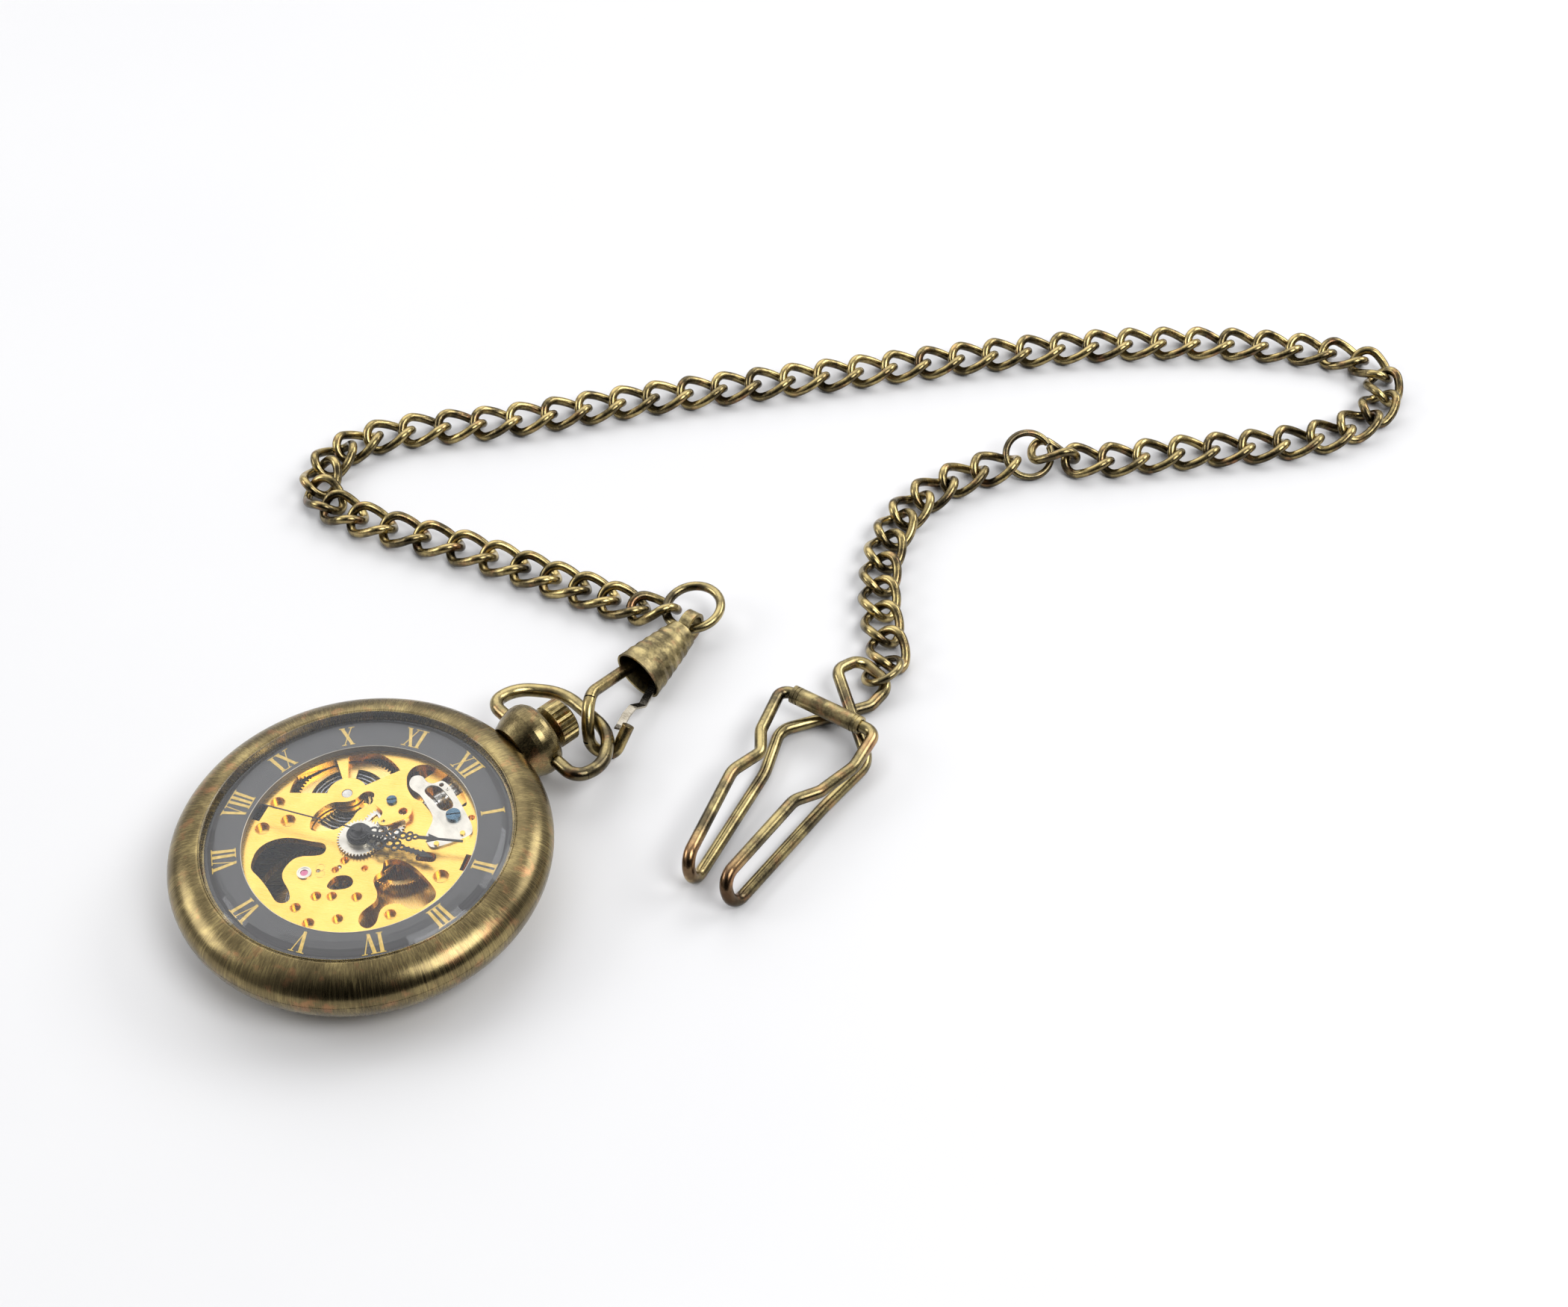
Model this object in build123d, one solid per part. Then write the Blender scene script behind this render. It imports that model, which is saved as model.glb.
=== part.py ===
from build123d import *
import math
import os

# Open-face mechanical pocket watch with skeletonised movement, bow, spring-gate
# clasp, curb chain and bent-wire trouser clip.  Millimetres, +Z up.
# Origin: centre of the case back on the surface the watch lies on.
# +Y points to 12 o'clock (towards the crown), +Z out through the crystal.

# ---------------------------------------------------------------- case
CASE_R = 22.7          # equator radius
EQ_Z = 6.4             # height of the equator seam
LIP_R = 18.6           # crystal opening
LIP_Z = 9.62           # top of the bezel lip
BACK_FLAT_R = 14.5     # flat of the back cover
CRYSTAL_R = 18.55
CRYSTAL_TOP = 11.2
CRYSTAL_T = 0.9
DIAL_IN_R = 13.8       # skeleton window of the dial ring
DIAL_OUT_R = 18.4
DIAL_TOP = 8.5
DIAL_T = 0.5
MOV_R = 15.5           # movement radius
PLATE_BOT = 6.6
PLATE_TOP = 7.6
AX_Z = 5.4             # height of stem, crown and pendant axis
BRIDGE_BOT = 3.2
BRIDGE_TOP = 3.8

# ---------------------------------------------------------------- crown and bow
STEM_R = 0.55
CROWN_R = 2.9
CROWN_Y0 = 27.75
CROWN_Y1 = 31.05
CROWN_FLUTES = 26
BOW_WIRE = 1.75
BOW_TILT = 10.0        # degrees the bow hangs below the level of its pivots
BOW_Z = 5.3
BOW_PIVOT_Y = 25.6

# ---------------------------------------------------------------- chain
LINK_WIRE = 1.25
LINK_MID = 2.586       # corner points of the twisted oval
LINK_CX, LINK_CY, LINK_CZ = 2.756, 1.653, 1.471
LINK_TIP = 3.385
LINK_RADII = [5.62, 1.83, 2.03, 1.83, 5.62, 1.83, 2.03, 1.83]
LINK_Z = 1.64          # height of a link's centre when the chain lies flat

# ---------------------------------------------------------------- train centres
BARREL_C = (-7.0, 2.95)
SECOND_C = (-0.6, 5.85)
THIRD_C = (3.66, 2.62)
ESCAPE_C = (1.505, -4.135)
BALANCE_C = (-0.55, -7.63)
MINUTE_C = (0.09, 3.30)
CROWN_WHEEL_C = (-2.283, 9.90)

os.makedirs("parts", exist_ok=True)
TAU = 2 * math.pi


def dist(a, b):
    return math.hypot(a[0] - b[0], a[1] - b[1])


def ang(a, b):
    return math.degrees(math.atan2(b[1] - a[1], b[0] - a[0]))


# ---------------------------------------------------------------- helpers
def save(name, *shapes):
    sol = []
    for s in shapes:
        sol += list(s.solids())
    c = Compound(children=[Solid(s.wrapped) for s in sol]) if len(sol) > 1 else sol[0]
    export_step(c, "parts/%s.step" % name)
    return c


def cyl(r, z0, z1, c=(0, 0)):
    return Pos(c[0], c[1], z0) * Cylinder(r, z1 - z0, align=(Align.CENTER, Align.CENTER, Align.MIN))


def ringz(ro, ri, z0, z1, c=(0, 0)):
    return cyl(ro, z0, z1, c) - cyl(ri, z0 - 0.1, z1 + 0.1, c)


def cyl_y(r, y0, y1, z=AX_Z, x=0.0):
    return Pos(x, y0, z) * Rot(-90, 0, 0) * Cylinder(r, y1 - y0, align=(Align.CENTER, Align.CENTER, Align.MIN))


def rev_z(pts):
    """Ring turned about Z from a closed (r, z) outline."""
    return revolve(Plane.XZ * make_face(Polyline(*[(p[0], p[1]) for p in pts], close=True)), Axis.Z, 360)


def rev_y(pts, z=AX_Z):
    """Turned about the line x=0, z=AX_Z from a closed (r, y) outline."""
    f = make_face(Polyline(*[(p[0], p[1]) for p in pts], close=True))
    return Pos(0, 0, z) * revolve(f, Axis.Y, 360)


def plate(pts, z0, z1, smooth=True):
    """Flat piece with a closed outline, rounded through the points."""
    ln = Spline(*pts, periodic=True) if smooth else Polyline(*pts, close=True)
    return extrude(Plane.XY.offset(z0) * make_face(ln), z1 - z0)


def corner(p0, p1, p2, r):
    u = (p0 - p1).normalized()
    v = (p2 - p1).normalized()
    turn = math.pi - math.acos(max(-1.0, min(1.0, u.dot(v))))
    t = r * math.tan(turn / 2)
    w = (u + v).normalized()
    return p1 + u * t, p1 + w * (r / math.cos(turn / 2)), p1 + v * t


def arc3(a, c, r, b):
    k = ((a - c).normalized() + (b - c).normalized()).normalized()
    return Edge.make_three_point_arc(a, c + k * r, b)


def rod(edges, section):
    w = Wire(edges)
    return sweep(Plane(origin=w @ 0, z_dir=w % 0) * section, path=w)


def wire_rod(pts, radii, dia):
    """Round wire along straight runs joined by tangent arcs, ends cut square."""
    P = [Vector(*p) for p in pts]
    edges, cur = [], P[0]
    for i in range(1, len(P) - 1):
        a, c, b = corner(P[i - 1], P[i], P[i + 1], radii[i - 1])
        if (a - cur).length > 1e-3:
            edges.append(Edge.make_line(cur, a))
        edges.append(arc3(a, c, radii[i - 1], b))
        cur = b
    if (P[-1] - cur).length > 1e-3:
        edges.append(Edge.make_line(cur, P[-1]))
    return rod(edges, Circle(dia / 2))


def wire_ring(pts, radii, dia):
    """Closed round-wire ring through an even number of corners, built as two halves."""
    P = [Vector(*p) for p in pts]
    n = len(P)
    h = n // 2
    T = [corner(P[i - 1], P[i], P[(i + 1) % n], radii[i]) for i in range(n)]
    halves = []
    for s in (0, h):
        a, c, b = T[s]
        m = c + ((a - c).normalized() + (b - c).normalized()).normalized() * radii[s]
        edges, cur = [arc3(m, c, radii[s], b)], b
        for j in range(s + 1, s + h):
            a, c, b = T[j % n]
            if (a - cur).length > 1e-3:
                edges.append(Edge.make_line(cur, a))
            edges.append(arc3(a, c, radii[j % n], b))
            cur = b
        a, c, b = T[(s + h) % n]
        if (a - cur).length > 1e-3:
            edges.append(Edge.make_line(cur, a))
        m = c + ((a - c).normalized() + (b - c).normalized()).normalized() * radii[(s + h) % n]
        edges.append(arc3(a, c, radii[(s + h) % n], m))
        halves.append(rod(edges, Circle(dia / 2)))
    return halves[0] + halves[1]


def gear_face(z, m, phase=0.0, add=0.85, ded=1.15, frac=0.40, tip=0.45):
    """Flat toothed outline; a tooth is centred on the phase angle (degrees)."""
    rp = z * m / 2
    ra, rd = rp + add * m, rp - ded * m
    pts = []
    for i in range(z):
        a = math.radians(phase) + i * TAU / z
        half = frac / 2 * TAU / z
        for r, k in ((rd, -1.25), (rp, -1.0), (ra, -tip), (ra, tip), (rp, 1.0), (rd, 1.25)):
            pts.append((r * math.cos(a + k * half), r * math.sin(a + k * half)))
    return make_face(Polyline(*pts, close=True))


def gear(z, m, c, z0, z1, phase=0.0, **k):
    return extrude(Pos(c[0], c[1], z0) * gear_face(z, m, phase, **k), z1 - z0)


def spokes(wheel, c, r_in, r_out, n, width, z0, z1, phase=0.0):
    """Crosses a wheel out: cuts the sectors between n arms."""
    for i in range(n):
        a0 = phase + i * 360 / n
        sec = ringz(r_out, r_in, z0 - 0.05, z1 + 0.05, c)
        wedge = []
        half = 180 / n
        R = r_out * 1.6
        wedge = [(0, 0)]
        for k in range(7):
            a = math.radians(a0 - half + 2 * half * k / 6)
            wedge.append((R * math.cos(a), R * math.sin(a)))
        w = extrude(Pos(c[0], c[1], z0 - 0.05) * make_face(Polyline(*wedge, close=True)), z1 - z0 + 0.1)
        for s in (-1, 1):
            a = math.radians(a0 + s * half)
            d = (math.cos(a), math.sin(a))
            bar = Pos(c[0] + d[0] * R / 2, c[1] + d[1] * R / 2, (z0 + z1) / 2) * Rot(0, 0, math.degrees(a)) * Box(
                R + 1, width, z1 - z0 + 0.4
            )
            w = w - bar
        wheel = wheel - (sec & w)
    return wheel


# ================================================================ case
def ell(cx, cz, a, b, t0, t1, n):
    return [
        (cx + a * math.cos(math.radians(t0 + (t1 - t0) * i / n)), cz + b * math.sin(math.radians(t0 + (t1 - t0) * i / n)))
        for i in range(n + 1)
    ]


def turned(curve, rest):
    """Turned ring: one smooth curve closed by straight runs."""
    sp = Spline(*curve)
    pl = Polyline(curve[-1], *rest, curve[0])
    return revolve(Plane.XZ * make_face([sp, pl]), Axis.Z, 360)


UP_A = CASE_R - 18.0
UP_B = 3.32
up = ell(18.0, EQ_Z, UP_A, UP_B, 1.0, 80, 12)          # bezel crown line
seam_z = up[0][1]
front_bezel = turned(
    up,
    [(LIP_R, LIP_Z), (LIP_R, 8.86), (18.0, 8.86), (18.0, 8.56), (19.0, 8.56), (19.0, 7.95), (20.4, 7.95), (20.4, seam_z)],
)
LO_A = CASE_R - BACK_FLAT_R
lo = ell(BACK_FLAT_R, EQ_Z, LO_A, EQ_Z, 0, -31, 5)     # band below the equator
case_band = turned(
    lo,
    [(19.9, lo[-1][1]), (19.9, 7.9), (20.35, 7.9), (20.35, EQ_Z)],
)
band_z = lo[-1][1]
lo2 = ell(BACK_FLAT_R, EQ_Z, LO_A, EQ_Z, -31.3, -90, 8)
back_cover = turned(
    lo2,
    [(0.0, 0.0), (0.0, 0.9), (14.4, 0.9), (18.4, 2.2), (19.4, 3.0), (19.4, 4.1), (19.85, 4.1), (19.85, lo2[0][1])],
)
# lifting lip of the snap back, at 6 o'clock
back_cover = back_cover - Pos(0, -21.9, lo2[0][1]) * Box(4.0, 1.6, 0.5)
outer = turned(
    ell(18.0, EQ_Z, UP_A, UP_B, 80, 0, 10),
    [(0, EQ_Z), (0, 9.0)],
)
outer_lo = turned(ell(BACK_FLAT_R, EQ_Z, LO_A, EQ_Z, 0, -90, 10), [(0, 0), (0, EQ_Z)])
case_band = case_band - cyl_y(0.98, 18.5, 24)
front_crystal = rev_z(
    [(0, CRYSTAL_TOP - CRYSTAL_T)]
    + [(r, CRYSTAL_TOP - CRYSTAL_T - 0.85 * (r / 16.8) ** 2) for r in (3, 6, 9, 12, 14.5, 16.8)]
    + [(17.6, 8.9), (CRYSTAL_R, 8.9), (CRYSTAL_R, 9.75), (18.1, 10.1), (17.2, 10.3)]
    + [(r, CRYSTAL_TOP - 0.8 * (r / 16.8) ** 2) for r in (16.4, 14, 11.5, 9, 6, 3)]
    + [(0, CRYSTAL_TOP)]
)
dial_ring = rev_z(
    [(DIAL_IN_R, 7.64), (DIAL_IN_R, DIAL_TOP), (DIAL_OUT_R, DIAL_TOP), (DIAL_OUT_R, DIAL_TOP - DIAL_T), (14.4, DIAL_TOP - DIAL_T), (14.4, 7.64)]
)
movement_ring = ringz(19.3, MOV_R + 0.05, 4.3, 7.93) - cyl_y(0.7, 15, 20)

# ---------------------------------------------------------------- pendant, crown, stem, bow
pendant = rev_y(
    [(0.7, 19.9), (0.96, 19.9), (0.96, 22.2), (3.55, 22.2), (3.75, 22.6), (4.05, 23.2), (4.4, 23.9), (4.65, 24.6), (4.78, 25.3), (4.75, 26.0), (4.55, 26.55), (4.15, 27.0), (3.6, 27.25), (3.0, 27.35), (0.7, 27.35)]
)
pendant = pendant - outer - outer_lo
pendant = pendant - Pos(0, BOW_PIVOT_Y, BOW_Z) * Rot(0, 90, 0) * Cylinder(0.62, 20)
stem_hole = cyl_y(0.72, 19, 28)
pendant = pendant - stem_hole

stem = cyl_y(STEM_R, 9.0, 29.0) - (cyl_y(1.0, 14.2, 14.8) - cyl_y(0.35, 14.1, 14.9))
crown = rev_y([(0.58, CROWN_Y0), (2.1, CROWN_Y0), (CROWN_R, CROWN_Y0 + 0.7), (CROWN_R, CROWN_Y1 - 0.35), (CROWN_R - 0.4, CROWN_Y1), (0, CROWN_Y1), (0, 29.05), (0.58, 29.05)])
for i in range(CROWN_FLUTES):
    a = 360 / CROWN_FLUTES * (i + 0.5)
    crown = crown - Pos(0, (CROWN_Y0 + CROWN_Y1) / 2 + 0.35, AX_Z) * Rot(0, a, 0) * Pos(CROWN_R + 0.05, 0, 0) * Rot(0, 45, 0) * Box(
        0.34, 2.5, 0.34
    )

bow = wire_rod(
    [(-3.6, 0, 0), (-8.2, 0, 0), (-9.0, 4.0, 0), (-4.6, 8.7, 0), (4.6, 8.7, 0), (9.0, 4.0, 0), (8.2, 0, 0), (3.6, 0, 0)],
    [1.9, 5.0, 6.0, 6.0, 5.0, 1.9],
    BOW_WIRE,
)
bow = Pos(0, BOW_PIVOT_Y, BOW_Z) * Rot(-BOW_TILT, 0, 0) * bow
# the bow's ends neck down to the pivots
bow = bow - (Pos(0, BOW_PIVOT_Y, BOW_Z) * (Rot(0, 90, 0) * Cylinder(2.0, 9.6))) 
bow = bow + Pos(4.55, BOW_PIVOT_Y + 0.0, BOW_Z) * Rot(0, 90, 0) * Cylinder(0.58, 2.1) + Pos(-4.55, BOW_PIVOT_Y, BOW_Z) * Rot(0, 90, 0) * Cylinder(0.58, 2.1)

# ================================================================ movement
disc = cyl(MOV_R, PLATE_BOT, PLATE_TOP)
S_OPEN = [(-5.83, -3.26), (-6.93, -1.9), (-7.22, -0.47), (-6.95, 1.0), (-6.1, 2.0), (-5.6, 3.4), (-5.75, 4.31), (-5.54, 4.97), (-4.75, 5.3), (-4.29, 4.95), (-3.75, 4.3), (-3.82, 3.15), (-3.86, 2.25), (-3.41, 1.2), (-3.28, 0.08), (-3.5, -1.4), (-4.37, -2.64), (-5.1, -3.3)]
BAL_OPEN = [(-6.77, -10.46), (-7.33, -8.9), (-7.15, -7.62), (-6.43, -6.3), (-5.13, -5.16), (-3.5, -4.05), (-2.54, -3.49), (-1.84, -3.67), (-1.44, -4.32), (-1.78, -5.2), (-2.54, -6.11), (-3.09, -7.15), (-2.9, -8.47), (-2.37, -9.42), (-1.47, -9.97), (-0.3, -10.22), (0.95, -10.65), (1.48, -11.19), (1.31, -11.9), (0.59, -12.3), (-0.23, -12.23), (-1.43, -12.02), (-2.83, -11.87), (-4.07, -11.84), (-5.41, -11.75), (-6.23, -11.11)]
KIDNEY = [(2.73, -6.7), (2.43, -6.12), (2.34, -5.3), (2.7, -4.6), (3.29, -4.1), (4.1, -4.05), (4.63, -4.5), (4.65, -5.2), (4.21, -5.96), (3.53, -6.69)]
BIG_OPEN = [(5.39, -1.16), (4.83, -0.25), (4.46, 0.16), (4.81, 1.04), (5.81, 1.8), (7.58, 2.27), (9.55, 2.3), (11.17, 2.18), (12.38, 1.78), (12.83, 1.18), (12.87, 0.34), (12.85, -0.56), (12.34, -1.4), (11.63, -1.82), (10.77, -2.05), (10.0, -2.78), (9.74, -3.5), (9.85, -4.21), (10.44, -4.98), (11.0, -5.8), (10.95, -6.75), (10.2, -7.15), (9.26, -6.9), (8.7, -6.2), (8.51, -5.0), (8.36, -3.86), (7.54, -3.07), (6.29, -2.61), (5.5, -1.95)]
SLOT = [(6.32, 3.5), (7.17, 5.0), (7.94, 5.1), (8.4, 4.58), (7.56, 3.52), (6.7, 3.05)]
KEYLESS = [(-3.81, 9.45), (-4.6, 10.38), (-4.8, 11.4), (-4.3, 12.4), (-3.0, 13.1), (-1.0, 13.5), (1.3, 13.5), (3.2, 13.0), (4.3, 12.2), (3.7, 11.3), (3.3, 10.2), (3.0, 9.2), (1.8, 8.6), (0.4, 8.7), (-0.8, 8.4), (-1.9, 8.5), (-3.0, 8.9)]
main_plate = disc
for o in (S_OPEN, BAL_OPEN, KIDNEY, BIG_OPEN, SLOT, KEYLESS):
    main_plate = main_plate - plate(o, PLATE_BOT - 0.1, PLATE_TOP + 0.1)


def sector(c, r0, r1, a0, a1, z0, z1, n=8):
    wedge = [(0, 0)] + [
        (2 * r1 * math.cos(math.radians(a0 + (a1 - a0) * k / n)), 2 * r1 * math.sin(math.radians(a0 + (a1 - a0) * k / n))) for k in range(n + 1)
    ]
    w = extrude(Pos(c[0], c[1], z0) * make_face(Polyline(*wedge, close=True)), z1 - z0)
    return ringz(r1, r0, z0, z1, c) & w


lim = cyl(13.35, PLATE_BOT - 0.2, PLATE_TOP + 0.2)
main_plate = main_plate - (sector(BARREL_C, 2.4, 6.95, 158, 226, PLATE_BOT - 0.1, PLATE_TOP + 0.1) & lim)
main_plate = main_plate - (sector(BARREL_C, 2.4, 6.95, 78, 143, PLATE_BOT - 0.1, PLATE_TOP + 0.1) & lim)
HOLES = [  # blind and through holes of the dial side: x, y, radius
    (1.51, -4.69, 0.42), (3.68, -2.07, 0.38), (1.14, -3.11, 0.5), (3.13, -8.5, 0.6), (4.38, -7.18, 0.58), (6.44, -5.13, 0.6),
    (2.85, -11.16, 0.6), (5.7, -11.34, 0.68), (7.5, -8.55, 0.62), (11.1, -3.75, 0.66), (-11.5, -3.97, 0.85), (-8.39, -4.57, 0.85),
    (-9.49, -7.47, 0.85), (10.72, 3.75, 0.9), (6.23, 11.62, 0.42), (11.9, -1.9 - 1.9, 0.0),
]
for x, y, r in HOLES:
    if r:
        main_plate = main_plate - cyl(r, PLATE_BOT + 0.25, PLATE_TOP + 0.1, (x, y))
for a in (-151.5, 32.3):   # edge notches beside the dial ring
    main_plate = main_plate - Pos(13.6 * math.cos(math.radians(a)), 13.6 * math.sin(math.radians(a)), 7.1) * Rot(0, 0, a) * Box(1.6, 2.4, 1.4)
# stem block under the plate at 12 o'clock
block = Pos(0, 13.2, (4.35 + PLATE_BOT) / 2) * Box(6.4, 3.4, PLATE_BOT - 4.35) & cyl(MOV_R, 4, 7)
block = block - Pos(0, 12.4, AX_Z + 0.6) * Box(3.3, 2.6, 3.4)
main_plate = main_plate + block - cyl_y(STEM_R + 0.05, 8, 16)
# bearing holes and the fixed centre tube
main_plate = main_plate - cyl(0.9, PLATE_BOT - 0.1, PLATE_TOP + 0.1)
main_plate = main_plate + (cyl(0.95, PLATE_BOT, 7.55) - cyl(0.26, 6, 8)) + (ringz(0.42, 0.26, 7.0, 9.2))
for c, r in ((SECOND_C, 0.3), (THIRD_C, 0.3), (ESCAPE_C, 0.3), (BALANCE_C, 0.85), (MINUTE_C, 0.26), (BARREL_C, 0.66)):
    main_plate = main_plate - cyl(r, PLATE_BOT - 0.1, PLATE_TOP + 0.1, c)
PALLET_C = (ESCAPE_C[0] + 2.45 * (BALANCE_C[0] - ESCAPE_C[0]) / dist(ESCAPE_C, BALANCE_C), ESCAPE_C[1] + 2.45 * (BALANCE_C[1] - ESCAPE_C[1]) / dist(ESCAPE_C, BALANCE_C))
main_plate = main_plate - cyl(0.26, PLATE_BOT - 0.1, PLATE_TOP + 0.1, PALLET_C)
SCREW_M = (-1.72, 5.88)
SCREW_S = (4.72, 10.11)
main_plate = main_plate - cyl(0.3, PLATE_BOT - 0.1, PLATE_TOP + 0.1, SCREW_M) - cyl(0.4, PLATE_BOT - 0.1, PLATE_TOP + 0.1, SCREW_S)
# pillars joining the plate and the bridges
PILLARS = [(-13.0, -4.6), (-12.2, 8.0), (-6.0, 13.25), (7.2, 12.2), (12.9, 5.0), (13.4, -4.4)]
for p in PILLARS[:5]:
    main_plate = main_plate + (cyl(0.8, BRIDGE_TOP, PLATE_BOT + 0.05, p) - cyl(0.42, 3, 5.6, p))

# ---- barrel
m_b = dist(BARREL_C, SECOND_C) * 2 / 90
ph = ang(BARREL_C, SECOND_C)
barrel = gear(80, m_b, BARREL_C, 5.9, 6.3, ph) + cyl(5.75, 5.0, 6.4, BARREL_C)
barrel = barrel - cyl(5.35, 5.2, 6.15, BARREL_C) - cyl(0.72, 4.9, 6.5, BARREL_C)
for k in range(3):   # windows of the open-worked barrel cover
    barrel = barrel - sector(BARREL_C, 1.9, 4.75, 152 + 120 * k, 152 + 98 + 120 * k, 6.1, 6.5)
barrel_arbor = cyl(0.68, 5.0, 6.42, BARREL_C) + cyl(0.6, 2.6, 7.55, BARREL_C)
# spiral mainspring, flat ribbon
sp_pts_o, sp_pts_i = [], []
turns, r0, r1, tk = 8.0, 1.15, 5.15, 0.16
N = 150
for i in range(N + 1):
    t = i / N
    a = t * turns * TAU
    r = r0 + (r1 - r0) * t
    sp_pts_o.append((BARREL_C[0] + (r + tk / 2) * math.cos(a), BARREL_C[1] + (r + tk / 2) * math.sin(a)))
    sp_pts_i.append((BARREL_C[0] + (r - tk / 2) * math.cos(a), BARREL_C[1] + (r - tk / 2) * math.sin(a)))
mainspring = extrude(Plane.XY.offset(5.25) * make_face(Polyline(*(sp_pts_o + sp_pts_i[::-1]), close=True)), 0.75)

# ---- going train
centre_wheel = gear(80, dist(SECOND_C, THIRD_C) * 2 / 90, SECOND_C, 4.0, 4.2, ang(SECOND_C, THIRD_C))
centre_wheel = spokes(centre_wheel, SECOND_C, 1.0, 4.1, 5, 0.5, 4.0, 4.2)
centre_wheel = centre_wheel + gear(10, m_b, SECOND_C, 5.75, 6.45, ang(SECOND_C, BARREL_C) + 18) + cyl(0.5, 4.0, 6.45, SECOND_C) + cyl(0.24, 3.4, 7.5, SECOND_C)
m3 = dist(THIRD_C, (0, 0)) * 2 / 85
third_wheel = gear(75, m3, THIRD_C, 5.1, 5.3, ang(THIRD_C, (0, 0)))
third_wheel = spokes(third_wheel, THIRD_C, 0.9, 3.35, 5, 0.42, 5.1, 5.3, 20)
third_wheel = third_wheel + gear(10, dist(SECOND_C, THIRD_C) * 2 / 90, THIRD_C, 3.9, 4.35, ang(THIRD_C, SECOND_C) + 18) + cyl(0.26, 4.3, 5.6, THIRD_C) + cyl(0.2, 3.4, 7.5, THIRD_C)
m4 = 0.1
fourth_wheel = gear(80, m4, (0, 0), 4.6, 4.8, ang((0, 0), ESCAPE_C))
fourth_wheel = spokes(fourth_wheel, (0, 0), 0.8, 3.45, 4, 0.4, 4.6, 4.8, 12)
fourth_wheel = fourth_wheel + gear(10, m3, (0, 0), 4.95, 5.45, ang((0, 0), THIRD_C) + 18) + cyl(0.3, 4.6, 5.45) + cyl(0.2, 3.4, 9.95)
escape_wheel = Pos(ESCAPE_C[0], ESCAPE_C[1], 5.3)
epts = []
for i in range(15):
    a = i * TAU / 15
    for r, d in ((1.55, -0.17), (1.62, 0.02), (2.02, 0.0), (2.05, 0.045), (1.66, 0.10)):
        epts.append((r * math.cos(a + d), r * math.sin(a + d)))
escape_wheel = extrude(Pos(ESCAPE_C[0], ESCAPE_C[1], 5.3) * make_face(Polyline(*epts, close=True)), 0.2)
escape_wheel = spokes(escape_wheel, ESCAPE_C, 0.55, 1.3, 4, 0.25, 5.3, 5.5)
escape_wheel = escape_wheel + gear(8, m4, ESCAPE_C, 4.45, 4.95, ang(ESCAPE_C, (0, 0)) + 22.5) + cyl(0.22, 4.9, 5.6, ESCAPE_C) + cyl(0.16, 3.9, 7.5, ESCAPE_C)

# pallet fork: two arms with stones and a lever with a forked end
ua = ang(ESCAPE_C, BALANCE_C)
fork = Pos(PALLET_C[0], PALLET_C[1], 5.4) * Rot(0, 0, ua) * (
    Box(0.5, 3.3, 0.2) + Pos(0.45, 0, 0) * Box(0.9, 0.3, 0.2) + Pos(0.86, 0.22, 0) * Box(0.36, 0.14, 0.2) + Pos(0.86, -0.22, 0) * Box(0.36, 0.14, 0.2)
)
fork = fork + cyl(0.16, 3.9, 7.5, PALLET_C) + cyl(0.34, 5.2, 5.6, PALLET_C)
pallet_fork = fork

# ---- balance
balance_wheel = ringz(6.4, 5.85, 3.2, 3.6, BALANCE_C) + cyl(0.75, 3.2, 3.6, BALANCE_C)
for k in range(3):
    a = math.radians(35 + 120 * k)
    balance_wheel = balance_wheel + Pos(BALANCE_C[0] + 3.1 * math.cos(a), BALANCE_C[1] + 3.1 * math.sin(a), 3.4) * Rot(0, 0, math.degrees(a)) * Box(5.7, 0.5, 0.3)
balance_wheel = balance_wheel + cyl(0.3, 2.9, 5.2, BALANCE_C) + cyl(0.5, 4.75, 4.95, BALANCE_C) + cyl(0.1, 2.3, 7.2, BALANCE_C)
hs_o, hs_i = [], []
for i in range(181):
    t = i / 180
    a = t * 9.0 * TAU
    r = 0.62 + 2.4 * t
    hs_o.append((BALANCE_C[0] + (r + 0.03) * math.cos(a), BALANCE_C[1] + (r + 0.03) * math.sin(a)))
    hs_i.append((BALANCE_C[0] + (r - 0.03) * math.cos(a), BALANCE_C[1] + (r - 0.03) * math.sin(a)))
hairspring = extrude(Plane.XY.offset(2.82) * make_face(Polyline(*(hs_o + hs_i[::-1]), close=True)), 0.18)
COCK_FOOT = (11.0, -9.6)
ca = ang(BALANCE_C, COCK_FOOT)
cl = dist(BALANCE_C, COCK_FOOT)
balance_cock = cyl(1.6, 1.95, 2.6, BALANCE_C) + cyl(2.2, 1.95, 2.6, COCK_FOOT) + Pos((BALANCE_C[0] + COCK_FOOT[0]) / 2, (BALANCE_C[1] + COCK_FOOT[1]) / 2, 2.275) * Rot(0, 0, ca) * Box(cl, 2.4, 0.65)
foot = cyl(2.2, 1.95, PLATE_BOT, COCK_FOOT) - cyl(6.75, 2.6, PLATE_BOT + 0.1, BALANCE_C)
balance_cock = (balance_cock + foot) & cyl(MOV_R - 0.05, 1.9, PLATE_BOT)
balance_cock = balance_cock - cyl(0.13, 1.9, 2.7, BALANCE_C) - cyl(0.42, 1.9, 7, (11.4, -9.4))

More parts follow.
